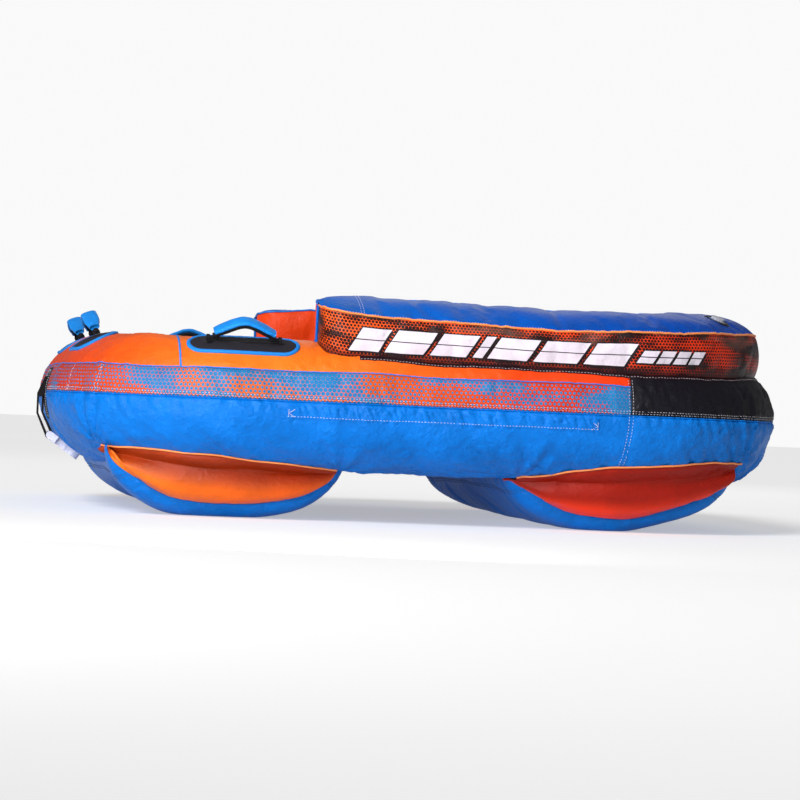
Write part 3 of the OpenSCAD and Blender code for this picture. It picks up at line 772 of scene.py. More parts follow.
def hull_trim():
    """Piping along the band, a cord round the widest line and the deck's two stripes."""
    top = on_hull(stretch(-s_seam, s_seam), math.radians(BAND_TOP), 0.6 * MM)
    place(cord("band_top_piping", *top, 1.2 * MM, "piping_blue"))
    widest = on_hull(s_all, math.radians(BAND_LOW), 1.2 * MM)
    place(cord("equator_seam_cord", *widest, 1.5 * MM, "blue", closed=True))
    theta = np.radians(np.linspace(BAND_TOP, 132, 80))
    ring_r = FRONT_R - TUBE_R + TUBE_R * np.cos(theta)
    s = S_FRONT - FRONT_R * np.arcsin((X0 + FRONT_R - XM + STRIPE_X) / ring_r)
    for side_name, at in (("left", s), ("right", other_side(s))):
        stripe = on_hull(at, theta, 0.5 * MM)
        place(cord("deck_stripe_" + side_name, *stripe, 2.6 * MM, "piping_blue", flat=0.35))


hull_stitching()
hull_trim()


def thick_patch(name, s, theta, thickness, material, sink=1.5 * MM):
    """A closed plate that lies on the hull, between two layers of the same grid."""
    theta = np.atleast_2d(theta)
    top = hull_point(s[:, None], theta, thickness)
    low = hull_point(s[:, None], theta, -sink)
    nu, nv = len(s), theta.shape[1]
    faces = grid_faces(nu, nv)[0].tolist()
    base = nu * nv
    under = [[base + q for q in f[::-1]] for f in faces]
    rim = ([i * nv for i in range(nu)] + [(nu - 1) * nv + j for j in range(1, nv)]
           + [i * nv + nv - 1 for i in range(nu - 2, -1, -1)] + [j for j in range(nv - 2, 0, -1)])
    sides = [[a, base + a, base + b, b] for a, b in zip(rim, rim[1:] + rim[:1])]
    points = np.concatenate([top.reshape(-1, 3), low.reshape(-1, 3)])
    obj = mesh_object(name, points, faces + under + sides, None, materials[material])
    return soften(obj, min(thickness * 0.45, 1.5 * MM))


# ---------- Inflating sewn covers ----------
CLOTH_FRAMES = 20


def inflate(obj, pins, pressure, cap, growth):
    """Blows a cover up as cloth. pins holds each vertex's pin weight; no vertex moves further than cap."""
    rest = coordinates(obj.data)
    group = obj.vertex_groups.new(name="pins")
    for weight in np.unique(pins):
        if weight > 0:
            group.add(np.nonzero(pins == weight)[0].tolist(), float(weight), "REPLACE")
    cloth = obj.modifiers.new("inflate", "CLOTH")
    settings = cloth.settings
    settings.quality = 6
    settings.mass = 0.25
    settings.tension_stiffness = 30
    settings.compression_stiffness = 12
    settings.shear_stiffness = 8
    settings.bending_stiffness = 0.2
    settings.use_pressure = True
    settings.uniform_pressure_force = pressure
    settings.shrink_min = -growth
    settings.vertex_group_mass = group.name
    settings.effector_weights.gravity = 0
    cloth.point_cache.frame_start, cloth.point_cache.frame_end = 1, CLOTH_FRAMES
    cloth.collision_settings.use_collision = False
    for number in range(1, CLOTH_FRAMES + 1):
        bpy.context.scene.frame_set(number)
    shaped = obj.evaluated_get(bpy.context.evaluated_depsgraph_get()).to_mesh()
    moved = coordinates(shaped) - rest
    obj.modifiers.remove(cloth)
    bpy.context.scene.frame_set(1)
    length = np.linalg.norm(moved, axis=1, keepdims=True)
    moved *= cap * np.tanh(length / cap) / np.maximum(length, 1e-9)
    set_points(obj, rest + moved)
    obj.vertex_groups.clear()


def edge_pins(nu, nv, rim=(0, -1)):
    """Pin weights of a grid whose outer edges are sewn down."""
    pins = np.zeros((nu, nv))
    pins[:, list(rim)] = 1
    pins[list(rim), :] = 1
    return pins


def rounder(obj):
    sub = obj.modifiers.new("finer", "SUBSURF")
    sub.levels = sub.render_levels = 1
    return obj


def cloth_skin(obj):
    """Rounds a simulated panel off and gives it the cloth's thickness."""
    return thicken(rounder(obj), CLOTH_T)


def liner(name, points, node, depth=7 * MM):
    """The bladder behind a cover: a closed pillow in the cover's own shape, set in. points is a grid whose
    first and last rows are the sewn edges."""
    nu, nv = points.shape[:2]
    faces = grid_faces(nu, nv)[0].tolist()
    faces += [[i * nv for i in range(nu)], [i * nv + nv - 1 for i in range(nu)][::-1]]
    last = (nu - 1) * nv
    faces += [[j, j + 1, last + j + 1, last + j] for j in range(nv - 1)]
    obj = mesh_object(name, points.reshape(-1, 3), faces, None, materials["vinyl"])
    move_out(obj, np.full(nu * nv, -depth))
    place(obj, [node])


# ---------- Backrest ----------
outer_lo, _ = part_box("backrest_outer_panel")
BACK_W = 0.190
ARM_R = BACK_W / 2
ARM_X = outer_lo.x + ARM_R
BACK_EDGE = outer_lo.y + HALF_W            # from the hull's outline to the backrest
OUTER_Z, INNER_Z = 0.222, 0.270          # heights of its top edges above the hull's centre line
CROWN = 0.013
ARM_SQUARE = 3.6                         # how square an arm's end is in plan
RAKE_IN = 0.014                          # how much further in the foot of an arm's front is
TUCK = 0.016                             # how much further in the outer side is round the tail
# How far the top edges of the cover lie above the bladder's, at distances behind an arm's tip.
LIFT_AT = (-0.08, 0.05, 0.50, 0.75, 1.15)
OUTER_LIFT = (12 * MM, 0.0, -12 * MM, -5 * MM, 8 * MM)
INNER_LIFT = (-4 * MM, 4 * MM, -5 * MM, -3 * MM, 5 * MM)
BACK_MID = BACK_EDGE + ARM_R
s_arm = side_s(ARM_X)


def back_path():
    """Columns of the backrest: outline distance, set-back along x at the round arm ends, half width."""
    turn = np.linspace(math.radians(86), 0, 16, endpoint=False)
    half, back = rounded(turn, ARM_SQUARE)
    tip = np.stack([np.full(len(turn), s_arm), ARM_R * back, ARM_R * half], 1)
    pitch = 11 * MM
    s = np.linspace(s_arm, other_side(s_arm), round((S_ALL - 2 * s_arm) * 0.86 / pitch))
    middle = np.stack([s, np.zeros(len(s)), np.full(len(s), ARM_R)], 1)
    far_tip = tip[::-1] * (0, 1, 1) + (other_side(s_arm), 0, 0)
    return np.concatenate([tip, middle, far_tip])


def rake_at(s):
    """How much of RAKE_IN applies: all of it at an arm's tip, none round the tail."""
    return RAKE_IN * (1 - step(folded(s) - s_arm, -0.2, 1.2))


def tuck_at(s):
    return TUCK * step(folded(s), S_SIDE - 0.1, S_REAR)


def back_ground(columns, across):
    """Plan points of the backrest at across = -1 (outer) to 1 (inner)."""
    ground, normal = outline(columns[:, 0])
    inset = BACK_MID + across * columns[:, 2:3] + tuck_at(columns[:, :1]) * (1 - across) / 2
    flat = ground[:, None, :] - normal[:, None, :] * inset[..., None]
    flat[..., 0] -= columns[:, 1:2]
    return flat, inset


def back_points(columns, n_outer, n_top, n_inner):
    """Points of the cover: up its outer side, over the top and down its inner side."""
    rise = INNER_Z - OUTER_Z
    share = columns[:, 2:3] / ARM_R
    behind = folded(columns[:, :1]) - s_arm - columns[:, 1:2]
    outer_lift, inner_lift = np.interp(behind, LIFT_AT, OUTER_LIFT), np.interp(behind, LIFT_AT, INNER_LIFT)

    def edge(across):
        t = 0.5 + across * share / 2
        return HULL_Z + OUTER_Z + rise * t + outer_lift * (1 - t) + inner_lift * t, t

    def side(across, count, downward):
        flat, inset = back_ground(columns, np.full((1, count), across))
        foot_in = rake_at(columns[:, :1]) * (1 - across) / 2
        foot = HULL_Z + np.sqrt(np.maximum(TUBE_R ** 2 - (TUBE_R - inset - foot_in) ** 2, 0)) - 2 * MM
        v = np.linspace(0, 1, count)[None, :]
        v = 1 - v if downward else v
        z = foot + (edge(across)[0] - foot) * v
        _, normal = outline(columns[:, 0])
        belly = 7 * MM * np.sin(math.pi * v) * share
        flat = flat - normal[:, None, :] * (belly * across + foot_in * (1 - v))[..., None]
        return np.concatenate([flat, z[..., None]], -1)

    even = np.linspace(-1, 1, n_top)[None, :]
    across = np.sin(even * math.pi / 2) * 0.35 + even * 0.65
    flat, _ = back_ground(columns, np.broadcast_to(across, (len(columns), n_top)))
    z, t = edge(across)
    z = z + CROWN * share * np.cos(across * math.pi / 2)
    top = np.concatenate([flat, z[..., None]], -1)
    return np.concatenate([side(-1, n_outer, False)[:, :-1], top, side(1, n_inner, True)[:, 1:]], 1)


def build_backrest():
    columns = back_path()
    n_outer, n_top, n_inner = ((14, 21, 15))
    points = back_points(columns, n_outer, n_top, n_inner)
    u, v = lengths(points[:, n_outer - 1]), lengths(points[len(points) // 3])
    seams = (n_outer - 1, n_outer + n_top - 2)
    shaped, normals = backrest_cover(points, u, v, seams)
    backrest_piping(shaped, normals, seams)
    backrest_stitching(shaped, normals, u, seams)
    liner("backrest_bladder_shape", shaped[8:-8, 1:-1].transpose(1, 0, 2)[::-1], "backrest_bladder")
    backrest_hem("backrest_outer_hem", -1, BACK_EDGE, "back_print")
    backrest_hem("backrest_inner_hem", 1, BACK_EDGE + BACK_W, "red")


def backrest_cover(points, u, v, seams):
    """Inflates the cover as one form, then cuts it into its three panels."""
    nu, nv = points.shape[:2]
    whole = grid_object("backrest_cover", points, u, v)
    pins = edge_pins(nu, nv)
    pins[:, seams] = 0.9
    inflate(whole, pins.ravel(), pressure=4.0, cap=13 * MM, growth=0.025)
    move_out(whole, backrest_wrinkles(u, v, seams).ravel())
    shaped = coordinates(whole.data).reshape(nu, nv, 3)
    normals = vertex_normals(whole).reshape(nu, nv, 3)
    bpy.data.objects.remove(whole)
    panels = [("outer", 0, seams[0], "back_print", "printed_backrest"),
              ("top", *seams, "back_top_painted_shade", "blue_nylon"),
              ("inner", seams[1], nv - 1, "back_inner", "red_nylon")]
    for side, first, last, material, slot in panels:
        keep = slice(first, last + 1)
        panel = grid_object(f"backrest_{side}_skin", shaped[:, keep], u, v[keep] - v[first],
                            material=materials[material])
        place(cloth_skin(panel), [f"backrest_{side}_panel"])
    return shaped, normals


def backrest_wrinkles(u, v, seams):
    """Gathers where the panels are sewn to the piping, and a groove along each seam."""
    along, over = u[:, None], v[None, :]
    gather = Waves(21, 26, 0.025, 0.07, u[-1] * 2, stretch=4.0)
    broad = Waves(23, 12, 0.12, 0.35, u[-1] * 2, stretch=0.7)
    near = sum(np.exp(-np.abs(over - v[k]) / (26 * MM)) for k in (0, *seams, len(v) - 1))
    out = 1.6 * MM * np.clip(near, 0, 1) * creases(gather(along, over)) + 1.2 * MM * broad(along, over)
    out = out - 1.6 * MM * sum(bell(over - v[k], 4 * MM) for k in seams)
    on_top = (over > v[seams[0]]) * (over < v[seams[1]])
    for at in (BACK_CROSS_SEAM, u[-1] - BACK_CROSS_SEAM):
        out = out - 1.6 * MM * bell(along - at, 7 * MM) * on_top
    count = np.arange(len(u))
    return out * np.minimum(1, np.minimum(count, count[::-1]) / 4)[:, None]


def backrest_piping(shaped, normals, seams):
    for side, row, colour in (("outer", seams[0], "piping_orange"), ("inner", seams[1], "piping_blue")):
        path, normal = shaped[:, row] + normals[:, row] * 1.0 * MM, normals[:, row]
        place(cord(f"backrest_{side}_piping", path, normal, 2.6 * MM, colour))
    foot = shaped[:, -1] + np.array([0, 0, 3 * MM])
    place(cord("backrest_foot_piping", foot, normals[:, -1], 3.4 * MM, "piping_blue"))
    for side, end in (("left", 0), ("right", -1)):
        outer = shaped[end, :seams[0] + 1]
        inner = shaped[end, seams[1]:][::-1]
        tip = (outer + inner[np.linspace(0, len(inner) - 1, len(outer)).astype(int)]) / 2
        out = np.tile([-1.0, 0, 0], (len(tip), 1))
        tip = tip + out * 1 * MM
        place(cord("backrest_tip_piping_" + side, tip, out, 3.6 * MM, "back_top_painted_shade"))


def backrest_stitching(shaped, normals, u, seams):
    """Rows of thread beside the piping and across the top."""
    thread = []
    for row, beside in ((seams[0], seams[0] + 1), (seams[1], seams[1] - 1)):
        path = shaped[:, beside] * 0.6 + shaped[:, row] * 0.4 + normals[:, beside] * 0.4 * MM
        thread.append(stitches(path, normals[:, beside], 7 * MM, 4 * MM))
    over = slice(seams[0], seams[1] + 1)
    for at in (BACK_CROSS_SEAM, u[-1] - BACK_CROSS_SEAM):
        k = int(np.argmin(np.abs(u - at)))
        for share in (0.0, 0.55):
            path = shaped[k, over] * (1 - share) + shaped[k + 1, over] * share + normals[k, over] * 0.7 * MM
            thread.append(stitches(path, normals[k, over]))
    place(joined("backrest_stitching", thread, materials["thread"]))


def backrest_hem(name, across, inset, material):
    """The hem that is sewn to the hull along one side of the backrest's foot."""
    s = stretch(s_arm, other_side(s_arm))
    middle = np.arccos((TUBE_R - inset - (rake_at(s) + tuck_at(s)) * (across < 0)) / TUBE_R)
    offsets = np.sort(across * np.array([-2, 3, 8, 12])) * MM / TUBE_R
    place(thick_patch(name, s, middle[:, None] + offsets[None, :], 1.2 * MM, material))
    row = on_hull(s, middle + across * 8.5 * MM / TUBE_R, 1.5 * MM)
    place(joined(name + "_thread", [stitches(*row)], materials["thread"]))


BACK_CROSS_SEAM = 0.150
# Where the slanted bars start and end, from an arm's tip.
BARS = [(0.100, 0.175), (0.190, 0.285), (0.300, 0.392), (0.407, 0.432), (0.447, 0.545), (0.560, 0.672),
        (0.687, 0.790)]
SMALL_BARS = [(0.815, 0.855), (0.864, 0.900), (0.909, 0.946), (0.955, 0.985)]


def bar_mask(shader, u, v, bars, low, high):
    """1 inside slanted bars. u runs from the arm's tip and v from the foot."""
    reach, slant = 1.05, 0.55
    run = shader.math("DIVIDE", shader.minus(u, shader.times(v, slant)), reach)
    black, white = (0, 0, 0, 1), (1, 1, 1, 1)
    stops = [(0.0, black)]
    for start, end in bars:
        stops += [(start / reach, white), (end / reach, black)]
    mask = shader.ramp(run, stops, constant=True)
    tall = shader.times(shader.between(v, low, low + 0.6 * MM), shader.between(v, high, high - 0.6 * MM))
    return shader.times(shader.grey(mask), tall)


def back_print(length):
    """Orange ground with black halftone, dark clouds and slanted white bars."""
    shader = Shader("back_print")
    u, v, _ = shader.uv()
    from_tip = shader.math("MINIMUM", u, shader.minus(length, u))
    stops = [(0.0, srgb(255, 96, 22)), (0.35, srgb(250, 80, 20)), (0.75, srgb(226, 52, 10)),
             (1.0, srgb(214, 44, 8))]
    ground = shader.ramp(shader.math("DIVIDE", from_tip, 1.3), stops)
    cloud = shader.noise(shader.vector(shader.times(u, 7.0), shader.times(v, 20.0)), 1.0, 3.0, 0.6)
    radius = shader.between(cloud, 0.30, 0.72, 2.5 * MM, 5.6 * MM)
    picture = shader.mix(dots(shader, u, v, 8.8 * MM, radius), ground, srgb(26, 10, 12))
    dark = shader.math("MAXIMUM", shader.between(v, 34 * MM, 4 * MM), shader.between(cloud, 0.60, 0.70))
    picture = shader.mix(shader.times(dark, 0.85), picture, srgb(36, 12, 18))
    slanted = shader.add(shader.times(u, 5.0), shader.times(v, -3.0))
    streaks = shader.noise(shader.vector(slanted, shader.times(v, 26.0), 4.0), 1.0, 3.0)
    smudge = shader.times(shader.between(streaks, 0.5, 0.62), shader.between(v, 60 * MM, 90 * MM))
    picture = shader.mix(shader.times(smudge, 0.45), picture, srgb(120, 84, 74))
    for bars, low, high in ((BARS, 22 * MM, 82 * MM), (SMALL_BARS, 33 * MM, 66 * MM)):
        shadow = bar_mask(shader, shader.minus(from_tip, 5 * MM), shader.add(v, 5 * MM), bars, low, high)
        rim = bar_mask(shader, shader.add(from_tip, 3 * MM), v, bars, low - 3 * MM, high + 3 * MM)
        bar = bar_mask(shader, from_tip, v, bars, low, high)
        middle = (low + high) / 2
        groove = shader.times(shader.between(v, middle - 1.6 * MM, middle - 1.0 * MM),
                              shader.between(v, middle + 1.6 * MM, middle + 1.0 * MM))
        picture = shader.mix(shader.math("MAXIMUM", shadow, rim), picture, srgb(26, 14, 18))
        picture = shader.mix(shader.times(bar, shader.minus(1.0, groove)), picture, srgb(236, 226, 238))
    return cloth_finish(shader, picture)


BACK_LENGTH = 2 * (1.57 * ARM_R + (S_TAIL - s_arm) - (1 - (REAR_R - BACK_EDGE) / REAR_R) * (S_REAR - S_SIDE))
materials["back_print"] = back_print(BACK_LENGTH)
# Painted shade: the top panel's blue is lighter at the front and darker towards the tail, as if lit from the
# front.
materials["back_top_painted_shade"] = blended_cloth("back_top_painted_shade", [
    (-0.3, srgb(8, 100, 200)), (0.3, srgb(4, 82, 184)), (0.9, srgb(0, 62, 160))], shine=0.10)
materials["back_inner"] = blended_cloth("back_inner", [(-0.3, srgb(252, 74, 18)), (0.8, srgb(226, 44, 10))])
build_backrest()

# ---------- Pontoons ----------
PONTOON_N = 2.35                         # how square its section is
PONTOON_FLAT = 0.565                     # half width of the full section; the shoulders are outside it
PONTOON_SEAM = 0.628
PONTOON_TOP = HULL_Z - 0.118             # inside the hull's tube
PONTOON_LIFT = 7 * MM                    # of the cover's lowest line before it is inflated
PONTOON_BAND = 0.085                     # from the wrap's top edges to the seam that runs round it
START_TURN, END_TURN = 0.04, math.pi - 0.235
REAR_RISE = 0.021


def end_scale(t):
    """Size of the section at the wrap's ends, of its size in the middle, round the turn t."""
    return 0.83 + 0.17 * (1 - step(t, 0.0, 0.7)) + 0.06 * step(t, 2.2, END_TURN)


def wrap_points(spec, node, turn, count_y, count_end):
    """The wrap's form: a blunt section that runs across the tube and shrinks over its two shoulders."""
    lo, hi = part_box(node + "_wrap")
    centre, half = (lo.x + hi.x) / 2, (hi.x - lo.x) / 2 - 9 * MM
    bend = np.linspace(1, 0, count_end, endpoint=False) * math.pi / 2
    shoulder = PONTOON_FLAT + (PONTOON_SEAM - PONTOON_FLAT) * np.sin(bend)
    y = np.concatenate([shoulder, np.linspace(PONTOON_FLAT, -PONTOON_FLAT, count_y), -shoulder[::-1]])
    shrink = np.concatenate([1 - np.cos(bend), np.zeros(count_y), 1 - np.cos(bend[::-1])])
    scale = 1 - (1 - end_scale(turn[:, None])) * shrink[None, :]
    ahead, down = rounded(turn[:, None], PONTOON_N)
    x = centre - half * ahead * scale
    z = (PONTOON_TOP - PONTOON_LIFT) * (1 - down * scale) + PONTOON_LIFT
    if spec is REAR:                         # its underside rises towards the tail
        z = z + REAR_RISE * step(x, centre, centre + 0.18) * (1 - step(z, 0.04, 0.20))
    return np.stack([x, np.broadcast_to(y[None, :], x.shape), z], -1)


def near_ends(run, reach):
    """1 at both ends of a run of lengths, fading inward."""
    return np.exp(-run / reach) + np.exp(-(run[-1] - run) / reach)


def wrap_wrinkles(node, u, v):
    """Gathers along all four edges, broad swells, and a groove along the seam round the wrap."""
    gather = Waves(31 + len(node), 30, 0.03, 0.08, 10.0, stretch=4.0)
    broad = Waves(37 + len(node), 12, 0.15, 0.45, 10.0)
    across_folds = Waves(41, 16, 0.04, 0.14, 10.0, stretch=0.35)
    along, over = u[:, None], v[None, :]
    out = 2.0 * MM * near_ends(v, 36 * MM)[None, :] * creases(gather(along, over))
    out = out + 2.0 * MM * near_ends(u, 50 * MM)[:, None] * creases(gather(over, along))
    out = out + 1.4 * MM * broad(along, over) + 0.6 * MM * creases(across_folds(over, along))
    for at in (PONTOON_BAND, u[-1] - PONTOON_BAND):
        out = out - 1.8 * MM * bell(along - at, 6 * MM)
    out[:, [0, -1]] = 0
    return out


def build_pontoon(spec, node):
    count_turn, count_y, count_end = ((84, 112, 9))
    turn = np.linspace(0.0, math.pi, count_turn)
    points = wrap_points(spec, node, turn, count_y, count_end)
    nu, nv = points.shape[:2]
    u, v = lengths(points[:, nv // 2]), lengths(points[nu // 2])
    wrap = grid_object(node + "_wrap_skin", points, u, v, material=materials["blue"])
    inflate(wrap, edge_pins(nu, nv).ravel(), pressure=4.0, cap=15 * MM, growth=0.02)
    move_out(wrap, wrap_wrinkles(node, u, v).ravel())
    shaped = coordinates(wrap.data)
    shaped[:, 2] = np.maximum(shaped[:, 2], 0.6 * MM)
    set_points(wrap, shaped)
    shaped = shaped.reshape(nu, nv, 3)
    normals = vertex_normals(wrap).reshape(nu, nv, 3)
    thread = []
    for at in (PONTOON_BAND, u[-1] - PONTOON_BAND):
        out = normals[int(np.argmin(np.abs(u - at)))]
        for shift in (-4 * MM, 4 * MM):
            row = np.stack([read_path(shaped[:, j], u, [at + shift])[0] for j in range(nv)])
            thread.append(stitches(row + out * 0.6 * MM, out))
    place(cloth_skin(wrap), [node + "_wrap"])
    left = build_pontoon_end(spec, node, -1, shaped[:, -1], turn, thread)
    build_pontoon_end(spec, node, 1, shaped[:, 0], turn, thread)
    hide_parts(node + "_ends")
    place(joined(node + "_stitching", thread, materials["dark_thread"]))
    liner(node + "_bladder_shape", shaped[2:-2, count_end:-count_end], node + "_bladder", 9 * MM)


TUBE_GAP = 6 * MM


def clear_of_tube(points):
    """Pushes points out of the hull's tube."""
    x, y = points[..., 0], np.abs(points[..., 1])
    front, rear = X0 + FRONT_R, X1 - REAR_R
    corner_x = np.where(x < front, front, np.where(x > rear, rear, x))
    corner_r = np.where(x < front, FRONT_R, np.where(x > rear, REAR_R, 0.0))
    away_x, away_y = x - corner_x, y - (HALF_W - corner_r)
    far = np.where(corner_r > 0, np.hypot(away_x, away_y), 1)
    ux = np.where(corner_r > 0, away_x / far, 0.0)
    uy = np.where(corner_r > 0, away_y / far, 1.0)
    out = np.where(corner_r > 0, far - corner_r, y - HALF_W) + TUBE_R
    up = points[..., 2] - HULL_Z
    radius = np.hypot(out, up)
    push = np.maximum(TUBE_R + TUBE_GAP - radius, 0)
    shift = push * out / radius
    moved = np.stack([ux * shift, uy * shift * np.sign(points[..., 1]), push * up / radius], -1)
    return points + moved


def end_points(spec, side, column, turn):
    """Points of an end panel, from the wrap's end seam up to the hull, with their heights and its slack."""
    count_along, count_up = ((74, 18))
    share = np.linspace(0, 1, count_along)
    low = read_path(column, turn, START_TURN + share * (END_TURN - START_TURN))
    x = spec.tips[0] + (spec.tips[1] - spec.tips[0]) * (0.5 - 0.5 * np.cos(share * math.pi))
    s = spec.outline_s(x)
    high = hull_point(s if side < 0 else other_side(s), spec.theta(x), 1.5 * MM)
    for _ in range(6):
        high[1:-1] = (high[:-2] + 2 * high[1:-1] + high[2:]) / 4
    v = np.linspace(0, 1, count_up)
    base = low[:, None, :] + (high - low)[:, None, :] * v[None, :, None]
    along, up = unit(np.gradient(base, axis=0)), unit(np.gradient(base, axis=1))
    normal = unit(np.cross(along, up)) * -side
    tall = np.linalg.norm(high - low, axis=1)
    slack = np.clip(tall / 0.12, 0, 1)[:, None]
    # It falls away under the hull's seam, then swells out lower down.
    belly = 26 * MM * np.sin(math.pi * np.clip(v * 1.25, 0, 1)) - 30 * MM * bell(v - 0.80, 0.17) * (1 - v ** 8)
    points = base + normal * (belly[None, :] * slack)[..., None]
    points[:, 1:-1] = clear_of_tube(points[:, 1:-1])
    order = slice(None, None, -side)
    return points[order], v * tall.max(), slack[order]


def build_pontoon_end(spec, node, side, column, turn, thread):
    """The panel between the wrap's end seam and the hull, with the piping of both."""
    points, w, slack = end_points(spec, side, column, turn)
    u = lengths(points[:, 0])
    name = node + ("_end_left" if side < 0 else "_end_right")
    panel = grid_object(name, points, u, w, material=materials["pontoon_orange"])
    pins = edge_pins(*points.shape[:2])
    inflate(panel, pins.ravel(), pressure=3.0, cap=10 * MM, growth=0.015)
    gather = Waves(51, 26, 0.03, 0.09, 10.0, stretch=3.0)
    broad = Waves(53, 10, 0.10, 0.30, 10.0)
    along, over = u[:, None], w[None, :]
    out = near_ends(w, 24 * MM)[None, :] * creases(gather(along, over)) + broad(along, over)
    move_out(panel, (2.2 * MM * out * slack * (pins == 0)).ravel())
    shaped = coordinates(panel.data).reshape(points.shape)
    shaped[:, 1:-1] = clear_of_tube(shaped[:, 1:-1])
    set_points(panel, shaped)
    normals = vertex_normals(panel).reshape(points.shape)
    top, out = shaped[2:-2, -1], normals[2:-2, -1]
    place(cord(name + "_top_piping", top + out * 2.0 * MM, out, 2.4 * MM, "piping_orange"))
    low, out = shaped[:, 0], normals[:, 0]
    place(cord(name + "_low_piping", low + out * 1.0 * MM, out, 2.4 * MM, "blue"))
    hem = shaped[:, 1] * 0.7 + low * 0.3 + normals[:, 1] * 0.5 * MM
    thread.append(stitches(hem, normals[:, 1], 7 * MM, 4 * MM))
    return place(cloth_skin(panel))


build_pontoon(FRONT, "front_pontoon")
build_pontoon(REAR, "rear_pontoon")


# ---------- Floor and seat pads ----------
def rounded_span(x, x0, x1, half, r0, r1):
    """Half width at x of a rounded rectangle."""
    front = np.clip((x0 + r0 - x) / r0, 0, 1)
    back = np.clip((x - (x1 - r1)) / r1, 0, 1)
    return half - r0 * (1 - np.sqrt(1 - front ** 2)) - r1 * (1 - np.sqrt(1 - back ** 2))


def slab(lo, hi, r0, r1, count_x, ring, power):
    """A closed cushion between two corners: rings across it, one per place along x."""
    turn = np.linspace(0, math.pi, count_x)
    x = (lo[0] + hi[0]) / 2 - (hi[0] - lo[0]) / 2 * np.cos(turn) * 0.999
    middle_y, half = (lo[1] + hi[1]) / 2, (hi[1] - lo[1]) / 2
    span = rounded_span(x, lo[0], hi[0], half, r0, r1)
    cy, cz = rounded(np.linspace(0, 2 * math.pi, ring, endpoint=False) - math.pi / 2, power)
    edge = np.sqrt(np.clip(np.sin(turn) / 0.25, 0.05, 1))
    mid_z, tall = (lo[2] + hi[2]) / 2, (hi[2] - lo[2]) / 2
    return np.stack([np.broadcast_to(x[:, None], (count_x, ring)), middle_y + span[:, None] * cy[None, :],
                     mid_z + tall * edge[:, None] * cz[None, :]], -1)


def capped_faces(nu, nv):
    """Faces of nu rings of nv points, one after another, closed at both ends."""
    faces = grid_faces(nu, nv, False, True)[0].tolist()
    return faces + [list(range(nv))[::-1], list(range((nu - 1) * nv, nu * nv))]


def closed_sections(name, points, material):
    faces = capped_faces(*points.shape[:2])
    return mesh_object(name, points.reshape(-1, 3), faces, None, materials[material])


FLOOR_EDGE = 0.326                       # from the hull's outline to the floor's
SEAT_R = (0.060, 0.120)                  # a seat pad's front and rear corner radii


def floor_form(inset):
    """The floor's cover, or its bladder a little further in, with a groove over each baffle."""
    lo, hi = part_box("floor_cover")
    lo, hi = lo + Vector((inset,) * 3), hi - Vector((inset,) * 3)
    points = slab(lo, hi, FRONT_R - FLOOR_EDGE - inset, REAR_R - FLOOR_EDGE - inset, 90, 120, 9.0)
    y = points[..., 1]
    upper = points[..., 2] > (lo.z + hi.z) / 2
    for baffle in (-0.24, 0.0, 0.24):
        points[..., 2] -= np.where(upper, 1, -1) * 7 * MM * bell(y - baffle, 14 * MM)
    return points


def build_floor():
    skin = closed_sections("floor_skin", floor_form(0), "deep_blue")
    place(skin, ["floor_cover"])
    inner = closed_sections("floor_bladder_shape", floor_form(6 * MM), "vinyl")
    place(inner, ["floor_bladder"])


def build_seat(node):
    lo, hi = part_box(node)
    count_x, ring = ((120, 150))
    points = slab((lo.x, lo.y, lo.z - 1 * MM), hi, *SEAT_R, count_x, ring, 8.0)
    obj = closed_sections(node + "_foam", points, "foam")
    weight = np.where(points[..., 2] < lo.z + 3 * MM, 1.0, 0.0)
    inflate(obj, weight.ravel(), pressure=1.5, cap=4 * MM, growth=0.0)
    shaped = coordinates(obj.data)
    for slope in (1.0, -1.0):                # crossed grooves
        run = shaped[:, 0] * 0.9 + shaped[:, 1] * slope
        groove = bell(np.mod(run, 0.06) - 0.03, 3 * MM)
        shaped[:, 2] -= np.where(shaped[:, 2] > lo.z + 6 * MM, 2.2 * MM, 0) * groove
    set_points(obj, shaped)
    place(rounder(obj), [node])
    count = 200
    cx, cy = rounded(np.linspace(0, 2 * math.pi, count, endpoint=False), 12.0)
    middle, half = (lo + hi) / 2, (hi - lo) / 2
    x = middle.x + cx * half.x
    span = rounded_span(x, lo.x, hi.x, half.y, *SEAT_R)
    rim = np.stack([x, middle.y + np.clip(cy * half.y, -span, span), np.full(count, lo.z + 3 * MM)], 1)
    up = np.tile([0.0, 0, 1], (count, 1))
    place(cord(node + "_trim", rim, up, 3.2 * MM, "piping_blue", closed=True))


build_floor()
build_seat("seat_pad_left")
build_seat("seat_pad_right")

# ---------- Handles ----------
PAD_LENGTH = 0.276
FRONT_PAD_DROP = 0.012                   # how far a front pad's middle lies below its handle's
FRONT_HANDLE_Y, SIDE_HANDLE_X = 0.334, 0.498
HINGE_N = TUBE_R + 13.5 * MM             # height of a handle's hinge line above the tube's centre line
SPAN, HEIGHT = 0.150, 0.054              # between a handle's feet, and above them
STRAP_T, GRIP_T = 9.0 * MM, 11.7 * MM
APEX = 0.018                             # how round the arch is on top
ARCH_H = HEIGHT - STRAP_T - GRIP_T - 0.3 * MM
ARCH_K = ARCH_H / (math.hypot(SPAN / 2, APEX) - APEX)


def pad_angle(front):
    """Tube angle of a handle's middle."""
    return math.radians(70 if front else 63)


def pad_width(front):
    return 0.118 if front else 0.092


def handle_matrix(front, side):
    lean = math.pi / 2 - pad_angle(front)
    if front:
        place_at = Matrix.Translation((X0 + TUBE_R, side * FRONT_HANDLE_Y, HULL_Z))
        return place_at @ Matrix.Rotation(-lean, 4, "Y") @ Matrix.Rotation(side * math.pi / 2, 4, "Z")
    place_at = Matrix.Translation((XM - SIDE_HANDLE_X, side * (HALF_W - TUBE_R), HULL_Z))
    return place_at @ Matrix.Rotation(-side * lean, 4, "X")


